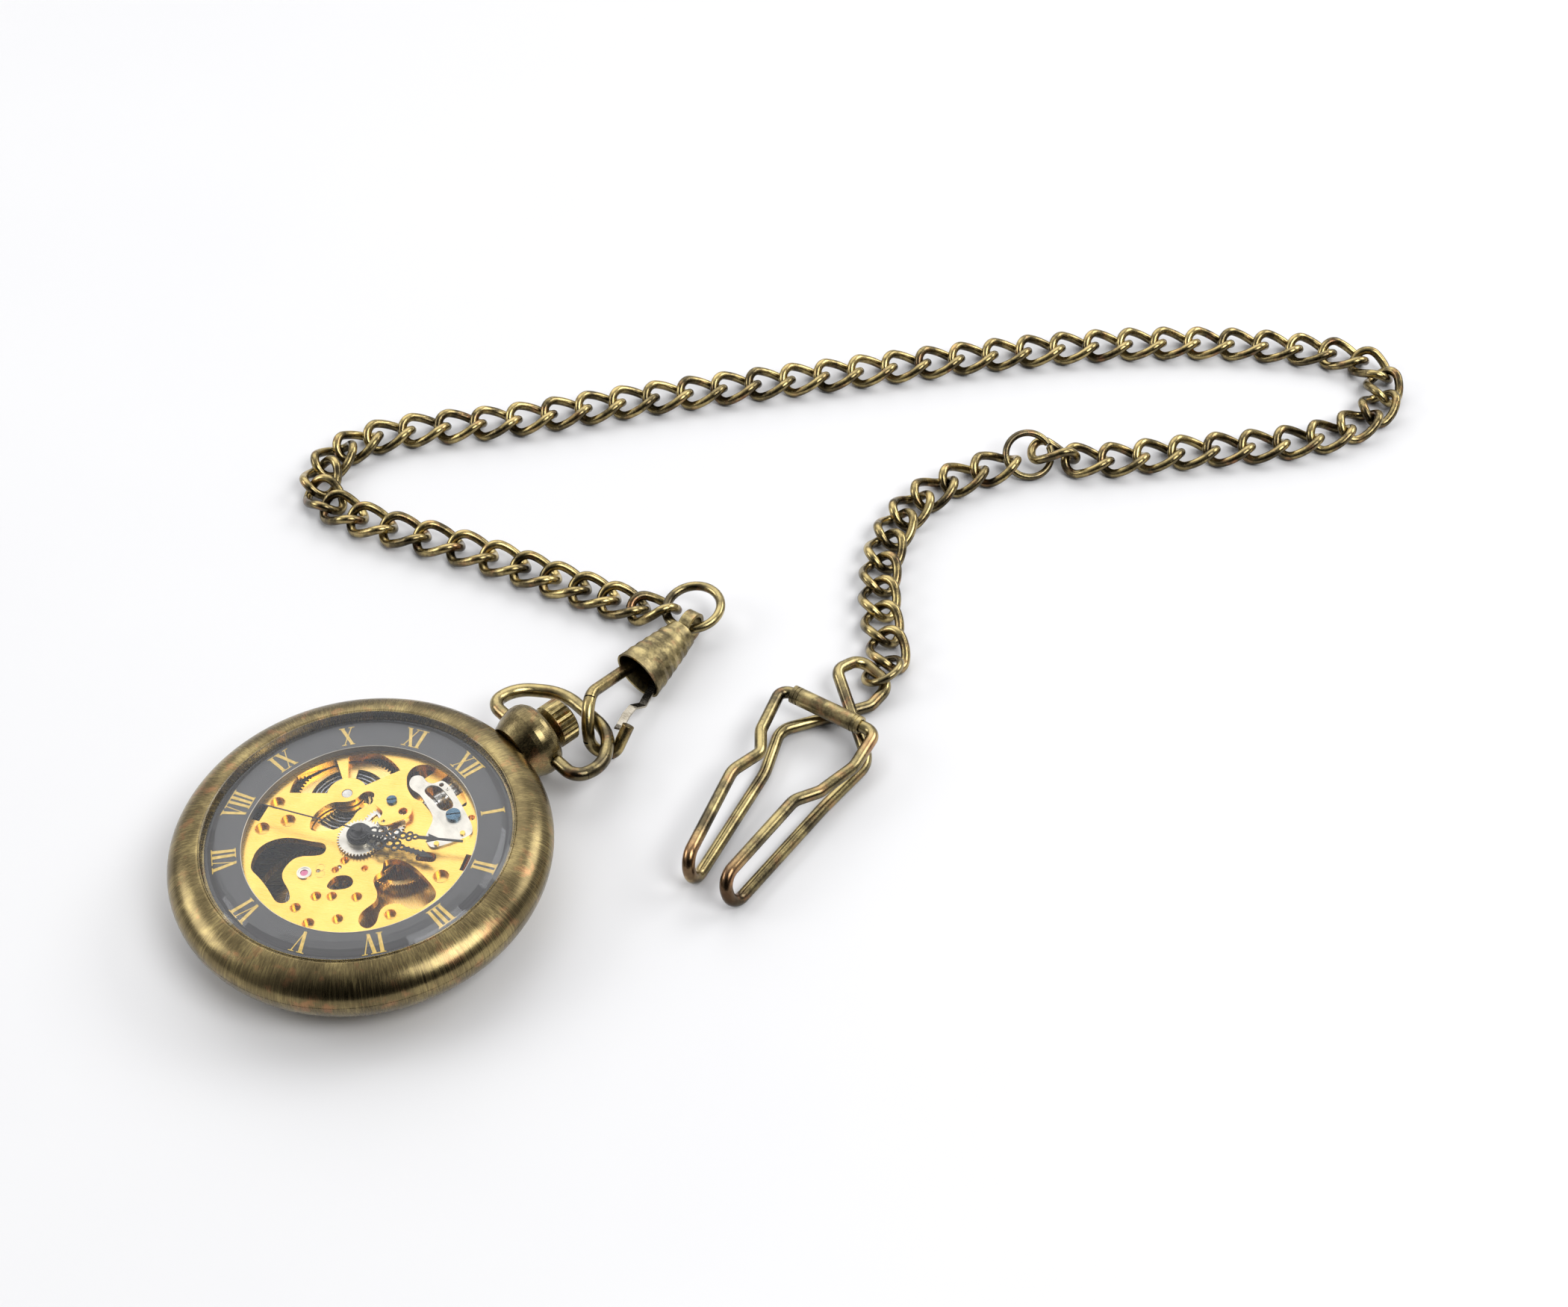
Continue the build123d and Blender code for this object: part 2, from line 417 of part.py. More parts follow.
# ---- bridges
bb = cyl(MOV_R - 0.05, BRIDGE_BOT, BRIDGE_TOP)
sweep_clear = cyl(6.85, BRIDGE_BOT - 0.1, BRIDGE_TOP + 0.1, BALANCE_C)
bridge = bb - sweep_clear - (Pos(0, -14, 3.5) * Box(40, 14, 1.0))
tr = Pos(6.0, 0, 3.5) * Box(22, 40, 1.0)
cutline = Plane.XY.offset(3.0) * make_face(Polyline((-4.4, -2.3), (-4.4, 3.4), (-5.6, 8.2), (-5.6, 20), (-40, 20), (-40, -2.3), close=True))
left_zone = extrude(cutline, 1.2)
gap = extrude(Plane.XY.offset(3.0) * make_face(Polyline((-4.4, -20), (-4.4, 3.4), (-5.6, 8.2), (-5.6, 20), (-5.3, 20), (-5.3, 8.26), (-4.1, 3.46), (-4.1, -20), close=True)), 1.2)
barrel_bridge = (bridge & left_zone) - gap
train_bridge = bridge - left_zone - gap
tongue = cyl(0.9, 3.68, 3.95, ESCAPE_C) + cyl(0.8, 3.68, 3.95, PALLET_C) + Pos(0.9, -3.2, 3.815) * Rot(0, 0, -75) * Box(6.2, 1.4, 0.27)
train_bridge = train_bridge + tongue
for s in train_bridge.solids():
    pass
train_bridge = max(train_bridge.solids(), key=lambda s: s.volume)
barrel_bridge = max(barrel_bridge.solids(), key=lambda s: s.volume)
for c, r in (((0, 0), 0.24), (SECOND_C, 0.28), (THIRD_C, 0.24), (ESCAPE_C, 0.2), (PALLET_C, 0.2)):
    train_bridge = train_bridge - cyl(r, 3.0, 4.0, c)
barrel_bridge = barrel_bridge - cyl(0.66, 3, 4, BARREL_C)
for p in PILLARS:
    train_bridge = train_bridge - cyl(0.42, 3, 4, p)
    barrel_bridge = barrel_bridge - cyl(0.42, 3, 4, p)

# ---- winding work on the back
m_r = dist(BARREL_C, CROWN_WHEEL_C) * 2 / 84
ratchet_wheel = gear(46, m_r, BARREL_C, 2.72, 3.12, ang(BARREL_C, CROWN_WHEEL_C)) - cyl(0.62, 2.6, 3.2, BARREL_C)
crown_wheel = gear(38, m_r, CROWN_WHEEL_C, 2.72, 3.12, ang(CROWN_WHEEL_C, BARREL_C) + 180 / 38) - cyl(0.9, 2.6, 3.2, CROWN_WHEEL_C)
crown_wheel_core = cyl(0.85, 2.72, 3.2, CROWN_WHEEL_C) + cyl(1.5, 2.45, 2.7, CROWN_WHEEL_C)
ca2 = 205
pc = (BARREL_C[0] + 6.35 * math.cos(math.radians(ca2)), BARREL_C[1] + 6.35 * math.sin(math.radians(ca2)))
click = cyl(0.8, 2.72, 3.12, pc) + Pos(pc[0], pc[1], 2.92) * Rot(0, 0, ca2 - 125) * Pos(1.2, 0, 0) * Box(2.4, 0.5, 0.4)
click = click - cyl(0.35, 2.6, 3.2, pc)
click = click - cyl(46 * m_r / 2 + 1.05 * m_r, 2.6, 3.2, BARREL_C)
click = max(click.solids(), key=lambda s: s.volume)

# ---- keyless work on the stem
def saw_y(r, y0, y1, n, depth):
    w = cyl_y(r, y0, y1)
    for i in range(n):
        a = 360 / n * i
        w = w - Pos(0, (y0 + y1) / 2, AX_Z) * Rot(0, a, 0) * Pos(r, 0, 0) * Rot(0, 45, 0) * Box(depth, y1 - y0 + 0.1, depth)
    return w


winding_pinion = saw_y(1.3, 12.35, 13.45, 16, 0.3) + cyl_y(0.95, 11.7, 12.35) - cyl_y(STEM_R + 0.04, 11, 14)
clutch_wheel = saw_y(1.05, 9.3, 9.9, 14, 0.24) + cyl_y(0.72, 9.9, 10.7) + cyl_y(1.05, 10.7, 11.6) - cyl_y(STEM_R + 0.04, 9, 12)
SLS = [(-3.42, 9.87), (-3.37, 10.58), (-2.8, 11.02), (-1.78, 10.95), (-0.9, 11.5), (-0.6, 12.3), (0.25, 12.55), (2.18, 12.25), (4.0, 11.85), (5.69, 11.38), (7.6, 10.72), (8.25, 10.13), (8.3, 9.29), (7.85, 7.8), (7.27, 6.19), (6.66, 5.39), (5.84, 5.4), (4.93, 5.9), (4.3, 6.8), (3.3, 8.1), (1.2, 8.75), (-0.9, 9.1), (-2.0, 8.94)]
SLW = [(-1.0, 10.3), (-0.95, 10.9), (-0.16, 11.5), (1.4, 11.55), (2.6, 11.4), (3.5, 10.95), (3.65, 10.36), (3.25, 9.72), (2.53, 9.55), (1.0, 9.75)]
sls = plate(SLS, PLATE_TOP, 7.85) - plate(SLW, 7.5, 8.0) - cyl(0.42, 7.5, 8, SCREW_S)
PINS = [(7.6, 9.3), (6.74, 6.1)]
for p in PINS:
    sls = sls - cyl(0.32, 7.5, 8, p)
    main_plate = main_plate + cyl(0.31, PLATE_TOP - 0.1, 8.05, p)
sls = sls - cyl(0.3, 7.5, 8, (-0.1, 11.95))
setting_lever_spring = sls + ringz(0.22, 0.1, 7.8, 7.95, (0.9, 12.1))

# ---- motion work
m_c = dist((0, 0), MINUTE_C) * 2 / 48
m_h = dist((0, 0), MINUTE_C) * 2 / 50
aw = ang((0, 0), MINUTE_C)
minute_wheel = gear(36, m_c, MINUTE_C, 7.72, 7.86, aw + 180 + 5)
minute_wheel = spokes(minute_wheel, MINUTE_C, 0.95, 1.85, 4, 0.35, 7.72, 7.86, 30)
minute_wheel = minute_wheel + gear(10, m_h, MINUTE_C, 7.84, 8.2, aw + 180 + 18) + cyl(0.2, 6.8, 8.24, MINUTE_C)
cannon_pinion = gear(12, m_c, (0, 0), 7.64, 7.92, aw) + cyl(0.72, 7.6, 9.42) - cyl(0.46, 7.5, 9.6)
hour_wheel = gear(40, m_h, (0, 0), 7.98, 8.16, aw) + cyl(1.6, 8.1, 8.62) + cyl(1.12, 8.5, 8.92) - cyl(0.78, 7.5, 9.2)
COCK = [(-3.0, 4.3), (-3.4, 5.0), (-3.3, 5.9), (-2.7, 6.8), (-1.62, 7.45), (-0.32, 7.5), (0.8, 7.0), (1.5, 6.2), (1.5, 5.3), (1.2, 4.4), (0.9, 3.3), (0.3, 2.75), (-0.4, 2.9), (-0.7, 3.6), (-1.2, 4.1), (-2.0, 4.1)]
minute_wheel_cock = plate(COCK, 8.3, 8.5) + (cyl(0.5, PLATE_TOP, 8.35, SCREW_M)) + cyl(0.7, PLATE_TOP, 8.35, (-0.55, 6.75))
minute_wheel_cock = minute_wheel_cock - cyl(0.24, 8.2, 8.6, MINUTE_C) - cyl(0.3, 7.5, 8.6, SCREW_M) - cyl(0.55, 8.25, 8.6, (0.5, 5.9))

# ---- hands
def hand(length, z0, z1, az, hub_r, bore, loops, tip):
    """Open-worked hand along +X, then turned to its azimuth."""
    h = cyl(hub_r, z0, z1)
    for x, y, ro, ri in loops:
        h = h + ringz(ro, ri, z0, z1, (x, y))
    for a, b, w in tip:
        h = h + Pos((a + b) / 2, 0, (z0 + z1) / 2) * Box(b - a, w, z1 - z0)
    return h


LH = [(1.95, 0.42, 0.62, 0.38), (1.95, -0.42, 0.62, 0.38), (2.95, 0.62, 0.72, 0.46), (2.95, -0.62, 0.72, 0.46), (4.0, 0.0, 0.62, 0.36), (4.85, 0.36, 0.48, 0.26), (4.85, -0.36, 0.48, 0.26), (5.6, 0.0, 0.42, 0.2)]
hour_hand = hand(9.7, 8.78, 8.92, 0, 1.5, 0, LH, [(1.2, 1.6, 0.5), (5.9, 8.2, 0.5)])
hour_hand = hour_hand + extrude(Plane.XY.offset(8.78) * make_face(Polyline((8.0, 0.55), (9.7, 0.0), (8.0, -0.55), (8.25, 0), close=True)), 0.14)
for sx in (6.4, 7.0, 7.6):
    hour_hand = hour_hand + Pos(sx, 0, 8.85) * Rot(0, 0, 45) * Box(0.62, 0.62, 0.14)
hour_hand = hour_hand - cyl(1.14, 8.7, 9.0)
LM = [(1.75, 0.36, 0.55, 0.34), (1.75, -0.36, 0.55, 0.34), (2.65, 0.42, 0.6, 0.38), (2.65, -0.42, 0.6, 0.38), (3.6, 0.0, 0.55, 0.33), (4.45, 0.4, 0.52, 0.3), (4.45, -0.4, 0.52, 0.3), (5.3, 0.0, 0.5, 0.28), (6.1, 0.3, 0.4, 0.2), (6.1, -0.3, 0.4, 0.2), (6.8, 0.0, 0.4, 0.2)]
minute_hand = hand(12.6, 9.24, 9.38, 0, 1.25, 0, LM, [(1.0, 1.5, 0.45), (7.1, 8.4, 0.42), (9.2, 12.5, 0.26)])
minute_hand = minute_hand + extrude(Plane.XY.offset(9.24) * make_face(Polyline((8.2, 0.62), (9.9, 0.0), (8.2, -0.62), (8.45, 0), close=True)), 0.14)
minute_hand = minute_hand + cyl(1.0, 9.38, 9.5) - cyl(0.74, 9.1, 9.45) - cyl(0.4, 9.0, 9.6)
second_hand = Pos(4.9, 0, 9.78) * Box(15.2, 0.16, 0.08) + Pos(-2.3, 0, 9.78) * Box(1.6, 0.42, 0.08) + cyl(0.5, 9.62, 10.05) - cyl(0.21, 9.5, 9.97)
hour_hand = Rot(0, 0, 26.0) * hour_hand
minute_hand = Rot(0, 0, 40.1) * minute_hand
second_hand = Rot(0, 0, -150.6) * second_hand

# ---- jewels, shock setting, screws
shock_setting = ringz(0.84, 0.46, 7.2, 7.72, BALANCE_C) + ringz(0.86, 0.7, 7.6, 7.78, BALANCE_C)
jewels = [cyl(0.45, 7.25, 7.6, BALANCE_C)]
for c, rh, rb in ((SECOND_C, 0.29, 0.245), (THIRD_C, 0.29, 0.205), (ESCAPE_C, 0.29, 0.165)):
    jewels.append(ringz(rh, rb, 6.75, 7.15, c))
jewels.append(ringz(0.25, 0.165, 6.75, 7.15, PALLET_C))


def screw(c, rh, rs, z0, zs, zh, flip=False):
    """Slotted cheese-head screw: shank z0..zs, head zs..zh."""
    s = cyl(rs, min(z0, zs), max(z0, zs), c) + cyl(rh, min(zs, zh), max(zs, zh), c)
    top = zh
    return s - Pos(c[0], c[1], top) * Rot(0, 0, 55) * Box(2.4 * rh, 0.22 * rh + 0.04, 0.24)


blued_screws = [screw(SCREW_M, 0.62, 0.28, 6.7, 8.5, 8.78), screw(SCREW_S, 0.88, 0.38, 6.7, 7.85, 8.25), crown_wheel_core]
blued_screws[2] = crown_wheel_core - Pos(CROWN_WHEEL_C[0], CROWN_WHEEL_C[1], 2.45) * Rot(0, 0, 30) * Box(3.4, 0.3, 0.24)
movement_screws = [screw(p, 0.8, 0.38, 5.2, BRIDGE_BOT, 2.75) for p in PILLARS[:5]]
movement_screws.append(screw((11.4, -9.4), 0.8, 0.38, 6.0, 1.95, 1.55))
movement_screws.append(screw(pc, 0.55, 0.32, BRIDGE_BOT, 2.7, 2.45))
movement_screws.append(screw(BARREL_C, 1.1, 0.3, 2.6, 2.58, 2.2))

# ================================================================ clasp
MOUTH = Vector(-0.43, 43.14, 3.65)
NARROW = Vector(-2.76, 52.68, 2.85)
axv = (MOUTH - NARROW).normalized()
latv = Vector(0.97, 0.243, 0).normalized()
latv = (latv - axv * latv.dot(axv)).normalized()
nrm = latv.cross(axv)
if nrm.Z < 0:
    nrm = nrm * -1
roll = math.radians(34)
lat2 = latv * math.cos(roll) - nrm * math.sin(roll)
frame_n = Plane(origin=NARROW, x_dir=lat2, z_dir=axv)
SL = (MOUTH - NARROW).length


def oval(a, b, off):
    return frame_n.offset(off) * Ellipse(a, b)


outer_sec, inner_sec = [], []
# shallow ribs pressed across the sheet, five along its length
nseg = 14
for i in range(nseg + 1):
    t = i / nseg
    rib = 0.11 if i in (3, 5, 7, 9, 11) else 0.0
    a = 2.05 + (3.6 - 2.05) * t
    b = 1.75 + (2.35 - 1.75) * t
    outer_sec.append(oval(a + rib, b + rib, SL * t))
    inner_sec.append(oval(a - 0.28, b - 0.28, SL * t))
clasp_sleeve = loft(outer_sec, ruled=True) - loft([inner_sec[0], inner_sec[-1]], ruled=True)
clasp_hook = wire_rod(
    [(-2.62, 49.2, 3.3), (-2.54, 44.4, 3.41), (-0.04, 35.26, 6.7), (2.4, 32.15, 6.01), (4.09, 31.57, 0.56), (6.22, 33.66, 1.79), (5.93, 36.18, 4.65)],
    [6.0, 3.0, 5.0, 2.2, 1.6],
    1.6,
)
# flat spring gate closing on the hook's nose
gw = 1.1
gate_pts = [(-0.6, 48.9, 2.2), (1.85, 42.95, 2.15), (3.0, 40.9, 2.45), (2.9, 39.4, 3.15), (3.45, 37.9, 3.35), (4.35, 36.1, 3.3), (4.7, 35.5, 3.55)]
G = [Vector(*p) for p in gate_pts]
gx = Vector(0.9, 0.2, 0.1).normalized()
gt = 0.28
clasp_gate = None
for p, q in zip(G[:-1], G[1:]):
    d = (q - p).normalized()
    side = (gx - d * gx.dot(d)).normalized()
    bar = Plane(origin=p + (q - p) * 0.5, x_dir=side, z_dir=d) * Box(gw, gt, (q - p).length + 0.12)
    clasp_gate = bar if clasp_gate is None else clasp_gate + bar
# strap end loop on the narrow end
EYE_C = Vector(-3.55, 55.2, 2.55)

# first ring after the clasp: near side low, far side high
U = Vector(0.6848, 0.7287, 0)
V = Vector(-0.7287, 0.6848, 0)


def hoop(center, e1, e2, R, dia, gap=0.0, at=0.0):
    """Round ring of wire; an opening of gap mm is left at angle at (degrees)."""
    n = e1.cross(e2).normalized()
    pl = Plane(origin=center, x_dir=e1, z_dir=n)
    sec = Pos(R, 0, 0) * Rot(90, 0, 0) * Circle(dia / 2)
    ring = revolve(Plane.XZ * Pos(R, 0) * Circle(dia / 2), Axis.Z, 360)
    if gap > 0:
        a = math.radians(at)
        ring = ring - Pos(R * math.cos(a), R * math.sin(a), 0) * Rot(0, 0, at) * Box(dia * 2, gap, dia * 2)
    return pl * ring


def hoop_n(center, n, R, dia, gap=0.0, at=0.0):
    n = Vector(*n).normalized()
    e1 = n.cross(Vector(0, 0, 1)).normalized()
    return hoop(Vector(*center), e1, n.cross(e1), R, dia, gap, at)


RING_C, RING_N, RING_R = (-5.205, 56.902, 3.015), (-0.019, -0.145, 0.989), 3.7
clasp_ring = hoop_n(RING_C, RING_N, RING_R, 1.25, 0.25, 120)

# flat strip loop riveted into the narrow end of the sleeve, upright round the ring
strap_pl = Plane(origin=NARROW - axv * 1.85, x_dir=axv * -1, z_dir=axv.cross(Vector(0, 0, 1)).normalized())
clasp_strap = strap_pl * (Cylinder(2.1, 1.6) - Cylinder(1.6, 1.8))
clasp_strap = clasp_strap + Plane(origin=NARROW + axv * 0.7, x_dir=latv, z_dir=axv) * Box(1.6, 0.9, 2.2)


# ================================================================ chain
link_pts = [
    (0, -LINK_MID, 0), (LINK_CX, -LINK_CY, LINK_CZ), (LINK_TIP, 0, 0), (LINK_CX, LINK_CY, -LINK_CZ),
    (0, LINK_MID, 0), (-LINK_CX, LINK_CY, LINK_CZ), (-LINK_TIP, 0, 0), (-LINK_CX, -LINK_CY, -LINK_CZ),
]
LINK = wire_ring(link_pts, LINK_RADII, LINK_WIRE)


def link(x, y, h, z=LINK_Z, roll=0.0, pitch=0.0):
    s = Pos(x, y, z) * Rot(0, 0, h) * Rot(0, pitch, 0) * Rot(roll, 0, 0) * LINK
    return s.solids()[0]


# x, y, heading of every link centre, from the clasp to the split ring, then on to the clip


A_LINKS = [
    (-9.23, 53.27, -145.55, 2.282, 13.32, 11.88), (-13.26, 51.36, -156.2), (-17.39, 49.64, -158.2), (-21.63, 47.99, -159.2), (-26.02, 46.33, -159.1),
    (-30.57, 44.55, -158.1), (-35.30, 42.56, -156.2), (-40.06, 40.35, -153.9), (-44.75, 38.01, -153.6), (-49.50, 35.79, -157.2),
    (-54.12, 34.23, -167.0), (-58.47, 33.99, 169.5), (-62.22, 36.08, 133.2), (-64.28, 39.88, 104.9), (-64.49, 44.21, 81.0),
    (-63.03, 48.68, 64.9), (-60.51, 53.14, 57.3), (-57.56, 57.47, 54.9), (-54.58, 61.78, 56.5), (-51.82, 66.24, 59.7),
    (-49.27, 70.78, 61.4), (-46.82, 75.27, 61.0), (-44.31, 79.70, 59.9), (-41.71, 84.10, 59.0), (-39.03, 88.51, 58.4),
    (-36.29, 92.92, 57.9), (-33.51, 97.34, 57.7), (-30.71, 101.77, 57.7), (-27.91, 106.21, 57.9), (-25.14, 110.65, 58.1),
    (-22.36, 115.10, 57.9), (-19.56, 119.54, 57.6), (-16.73, 123.94, 56.9), (-13.84, 128.32, 56.0), (-10.86, 132.63, 54.9),
    (-7.79, 136.88, 53.4), (-4.61, 141.05, 51.7), (-1.30, 145.09, 49.6), (2.15, 148.99, 47.3), (5.76, 152.72, 44.7),
    (9.55, 156.28, 41.8), (13.51, 159.63, 38.6), (17.58, 162.69, 35.3), (21.74, 165.24, 25.3), (26.26, 166.11, -10.1),
    (30.15, 163.71, -49.4), (32.31, 159.39, -76.5), (32.53, 154.25, -96.9), (31.24, 149.18, -111.4), (28.89, 144.50, -120.5),
    (26.07, 140.08, -124.3), (23.03, 135.81, -126.3), (19.92, 131.59, -126.1), (16.90, 127.31, -124.0), (13.98, 122.95, -124.9),
    (10.69, 118.88, -134.5), (6.54, 115.76, -153.0),
]
B_LINKS = [
    (2.56, 108.09, -111.05, 1.851, -1.85, 4.085), (0.80, 103.28, -105.9), (-0.09, 98.11, -93.3), (0.20, 93.17, -80.0), (1.52, 88.61, -67.9),
    (3.67, 84.42, -57.8), (6.49, 80.62, -49.6), (9.79, 77.17, -43.2), (13.44, 74.05, -38.1), (17.32, 71.24, -33.9),
]
A_SEGMENTS = [("chain_a1", 0, 9), ("chain_a2", 10, 13), ("chain_a3", 14, 22), ("chain_a4", 23, 33), ("chain_a5", 34, 42), ("chain_a6", 43, 45), ("chain_a7", 46, 55)]
B_SEGMENTS = [("chain_b1", 0, 4), ("chain_b2", 5, 9)]

# ---- rings that join the chain to its fittings
SPLIT_C, SPLIT_N, SPLIT_R = (4.5, 112.92, 2.335), (0.386, -0.276, 0.723), 3.3
CONNECT = (6.712, 115.95, -154.6, 2.302, 24.39, 5.158)
split_ring = hoop_n(SPLIT_C, SPLIT_N, SPLIT_R, 1.0, 0.3, 200)
connecting_link = link(*CONNECT)
END_C, END_N = (19.662, 67.854, 2.038), (-0.542, -0.119, 0.832)
end_ring = hoop_n(END_C, END_N, 2.6, 1.0, 0.25, 60)

# ================================================================ trouser clip, one bent wire and a rolled sleeve
CLIP_WIRE = 1.6
CLIP_SLEEVE_C = Vector(20.6, 56.8, 3.75)
CLIP_SLEEVE_D = Vector(0.97, 0.247, 0).normalized()
clip_wire = wire_rod(
    [
        (19.6, 56.545, 3.75), (14.0, 55.1, 3.75), (17.6, 48.1, 4.1), (20.3, 45.6, 4.2), (20.3, 40.8, 4.6), (26.95, 27.4, 5.1),
        (27.9, 27.4, 0.83), (21.1, 45.5, 0.83), (17.2, 51.8, 0.83), (22.2, 63.2, 0.83), (21.8, 67.2, 1.5), (16.4, 67.0, 2.4),
        (16.2, 62.8, 3.3), (28.9, 56.2, 1.0), (30.1, 47.0, 0.83), (33.6, 28.6, 0.83), (32.1, 28.6, 5.1), (28.9, 43.2, 4.5),
        (29.9, 46.6, 4.2), (29.9, 52.5, 4.1), (27.6, 58.58, 3.75), (21.6, 57.055, 3.75),
    ],
    [1.3, 3, 1.5, 4, 2.05, 2.05, 10, 3, 2.0, 2.0, 2.0, 1.8, 3.5, 10, 2.05, 2.05, 3, 2, 4, 1.5],
    CLIP_WIRE,
)
sp = Plane(origin=CLIP_SLEEVE_C - CLIP_SLEEVE_D * 5.05, z_dir=CLIP_SLEEVE_D)
clip_sleeve = sp * (Cylinder(1.2, 10.1, align=(Align.CENTER, Align.CENTER, Align.MIN)) - Cylinder(0.88, 10.1, align=(Align.CENTER, Align.CENTER, Align.MIN)))
for k in (0.55, 1.05, 9.05, 9.55):
    clip_sleeve = clip_sleeve - Plane(origin=CLIP_SLEEVE_C + CLIP_SLEEVE_D * (k - 5.05), z_dir=CLIP_SLEEVE_D) * (Cylinder(1.4, 0.16) - Cylinder(1.1, 0.3))

# ================================================================ files
save("case_band", case_band)
save("front_bezel", front_bezel)
save("front_crystal", front_crystal)
save("back_cover", back_cover)
save("pendant", pendant)
save("bow", bow)
save("crown", crown)
save("winding_stem", stem)
save("movement_ring", movement_ring)
save("dial_ring", dial_ring)
save("main_plate", main_plate)
save("barrel", barrel)
save("barrel_arbor", barrel_arbor)
save("mainspring", mainspring)
save("barrel_bridge", barrel_bridge)
save("train_bridge", train_bridge)
save("centre_wheel", centre_wheel)
save("third_wheel", third_wheel)
save("fourth_wheel", fourth_wheel)
save("escape_wheel", escape_wheel)
save("pallet_fork", pallet_fork)
save("balance_wheel", balance_wheel)
save("hairspring", hairspring)
save("balance_cock", balance_cock)
save("shock_setting", shock_setting)
save("jewels", *jewels)
save("ratchet_wheel", ratchet_wheel)
save("crown_wheel", crown_wheel)
save("click", click)
save("winding_pinion", winding_pinion)
save("clutch_wheel", clutch_wheel)
save("setting_lever_spring", setting_lever_spring)
save("minute_wheel", minute_wheel)
save("minute_wheel_cock", minute_wheel_cock)
save("cannon_pinion", cannon_pinion)
save("hour_wheel", hour_wheel)
save("hour_hand", hour_hand)
save("minute_hand", minute_hand)
save("second_hand", second_hand)
save("blued_screws", *blued_screws)
save("movement_screws", *movement_screws)
save("clasp_hook", clasp_hook)
save("clasp_sleeve", clasp_sleeve)
save("clasp_gate", clasp_gate)
save("clasp_strap", clasp_strap)
save("clasp_ring", clasp_ring)
for name, a, b in A_SEGMENTS:
    save(name, *[link(*A_LINKS[i]) for i in range(a, b + 1)])
save("connecting_link", connecting_link)
save("split_ring", split_ring)
for name, a, b in B_SEGMENTS:
    save(name, *[link(*B_LINKS[i]) for i in range(a, b + 1)])
save("end_ring", end_ring)
save("clip_wire", clip_wire)
save("clip_sleeve", clip_sleeve)
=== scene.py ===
import math

import bmesh
import bpy
from mathutils import Matrix, Vector


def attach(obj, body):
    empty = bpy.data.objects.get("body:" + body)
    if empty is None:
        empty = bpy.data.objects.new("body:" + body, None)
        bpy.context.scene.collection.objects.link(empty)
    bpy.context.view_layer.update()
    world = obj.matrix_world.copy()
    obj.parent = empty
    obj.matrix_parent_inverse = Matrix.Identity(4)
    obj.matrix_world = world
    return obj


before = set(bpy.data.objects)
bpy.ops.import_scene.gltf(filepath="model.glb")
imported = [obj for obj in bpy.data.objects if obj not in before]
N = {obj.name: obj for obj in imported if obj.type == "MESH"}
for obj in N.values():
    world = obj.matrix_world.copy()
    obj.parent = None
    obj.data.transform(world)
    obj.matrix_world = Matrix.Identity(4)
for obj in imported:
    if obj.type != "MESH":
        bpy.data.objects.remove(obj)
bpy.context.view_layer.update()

MM = 0.001

# ------------------------------------------------------------------ camera
cam_data = bpy.data.cameras.new("camera")
cam = bpy.data.objects.new("camera", cam_data)
bpy.context.scene.collection.objects.link(cam)
PITCH = math.radians(47.223)
fw = Vector((-0.7287 * math.cos(PITCH), 0.6848 * math.cos(PITCH), -math.sin(PITCH))).normalized()
right = Vector((0.6848, 0.7287, 0)).normalized()
up = right.cross(fw).normalized()
R = Matrix((right, up, -fw)).transposed()
cam.matrix_world = Matrix.Translation((0.1433, -0.0660, 0.20184)) @ R.to_4x4()
cam_data.sensor_width = 36.0
cam_data.lens = 47.41
cam_data.clip_start = 0.005
cam_data.clip_end = 20
bpy.context.scene.camera = cam
bpy.context.scene.view_settings.view_transform = "Standard"

# ------------------------------------------------------------------ material helpers


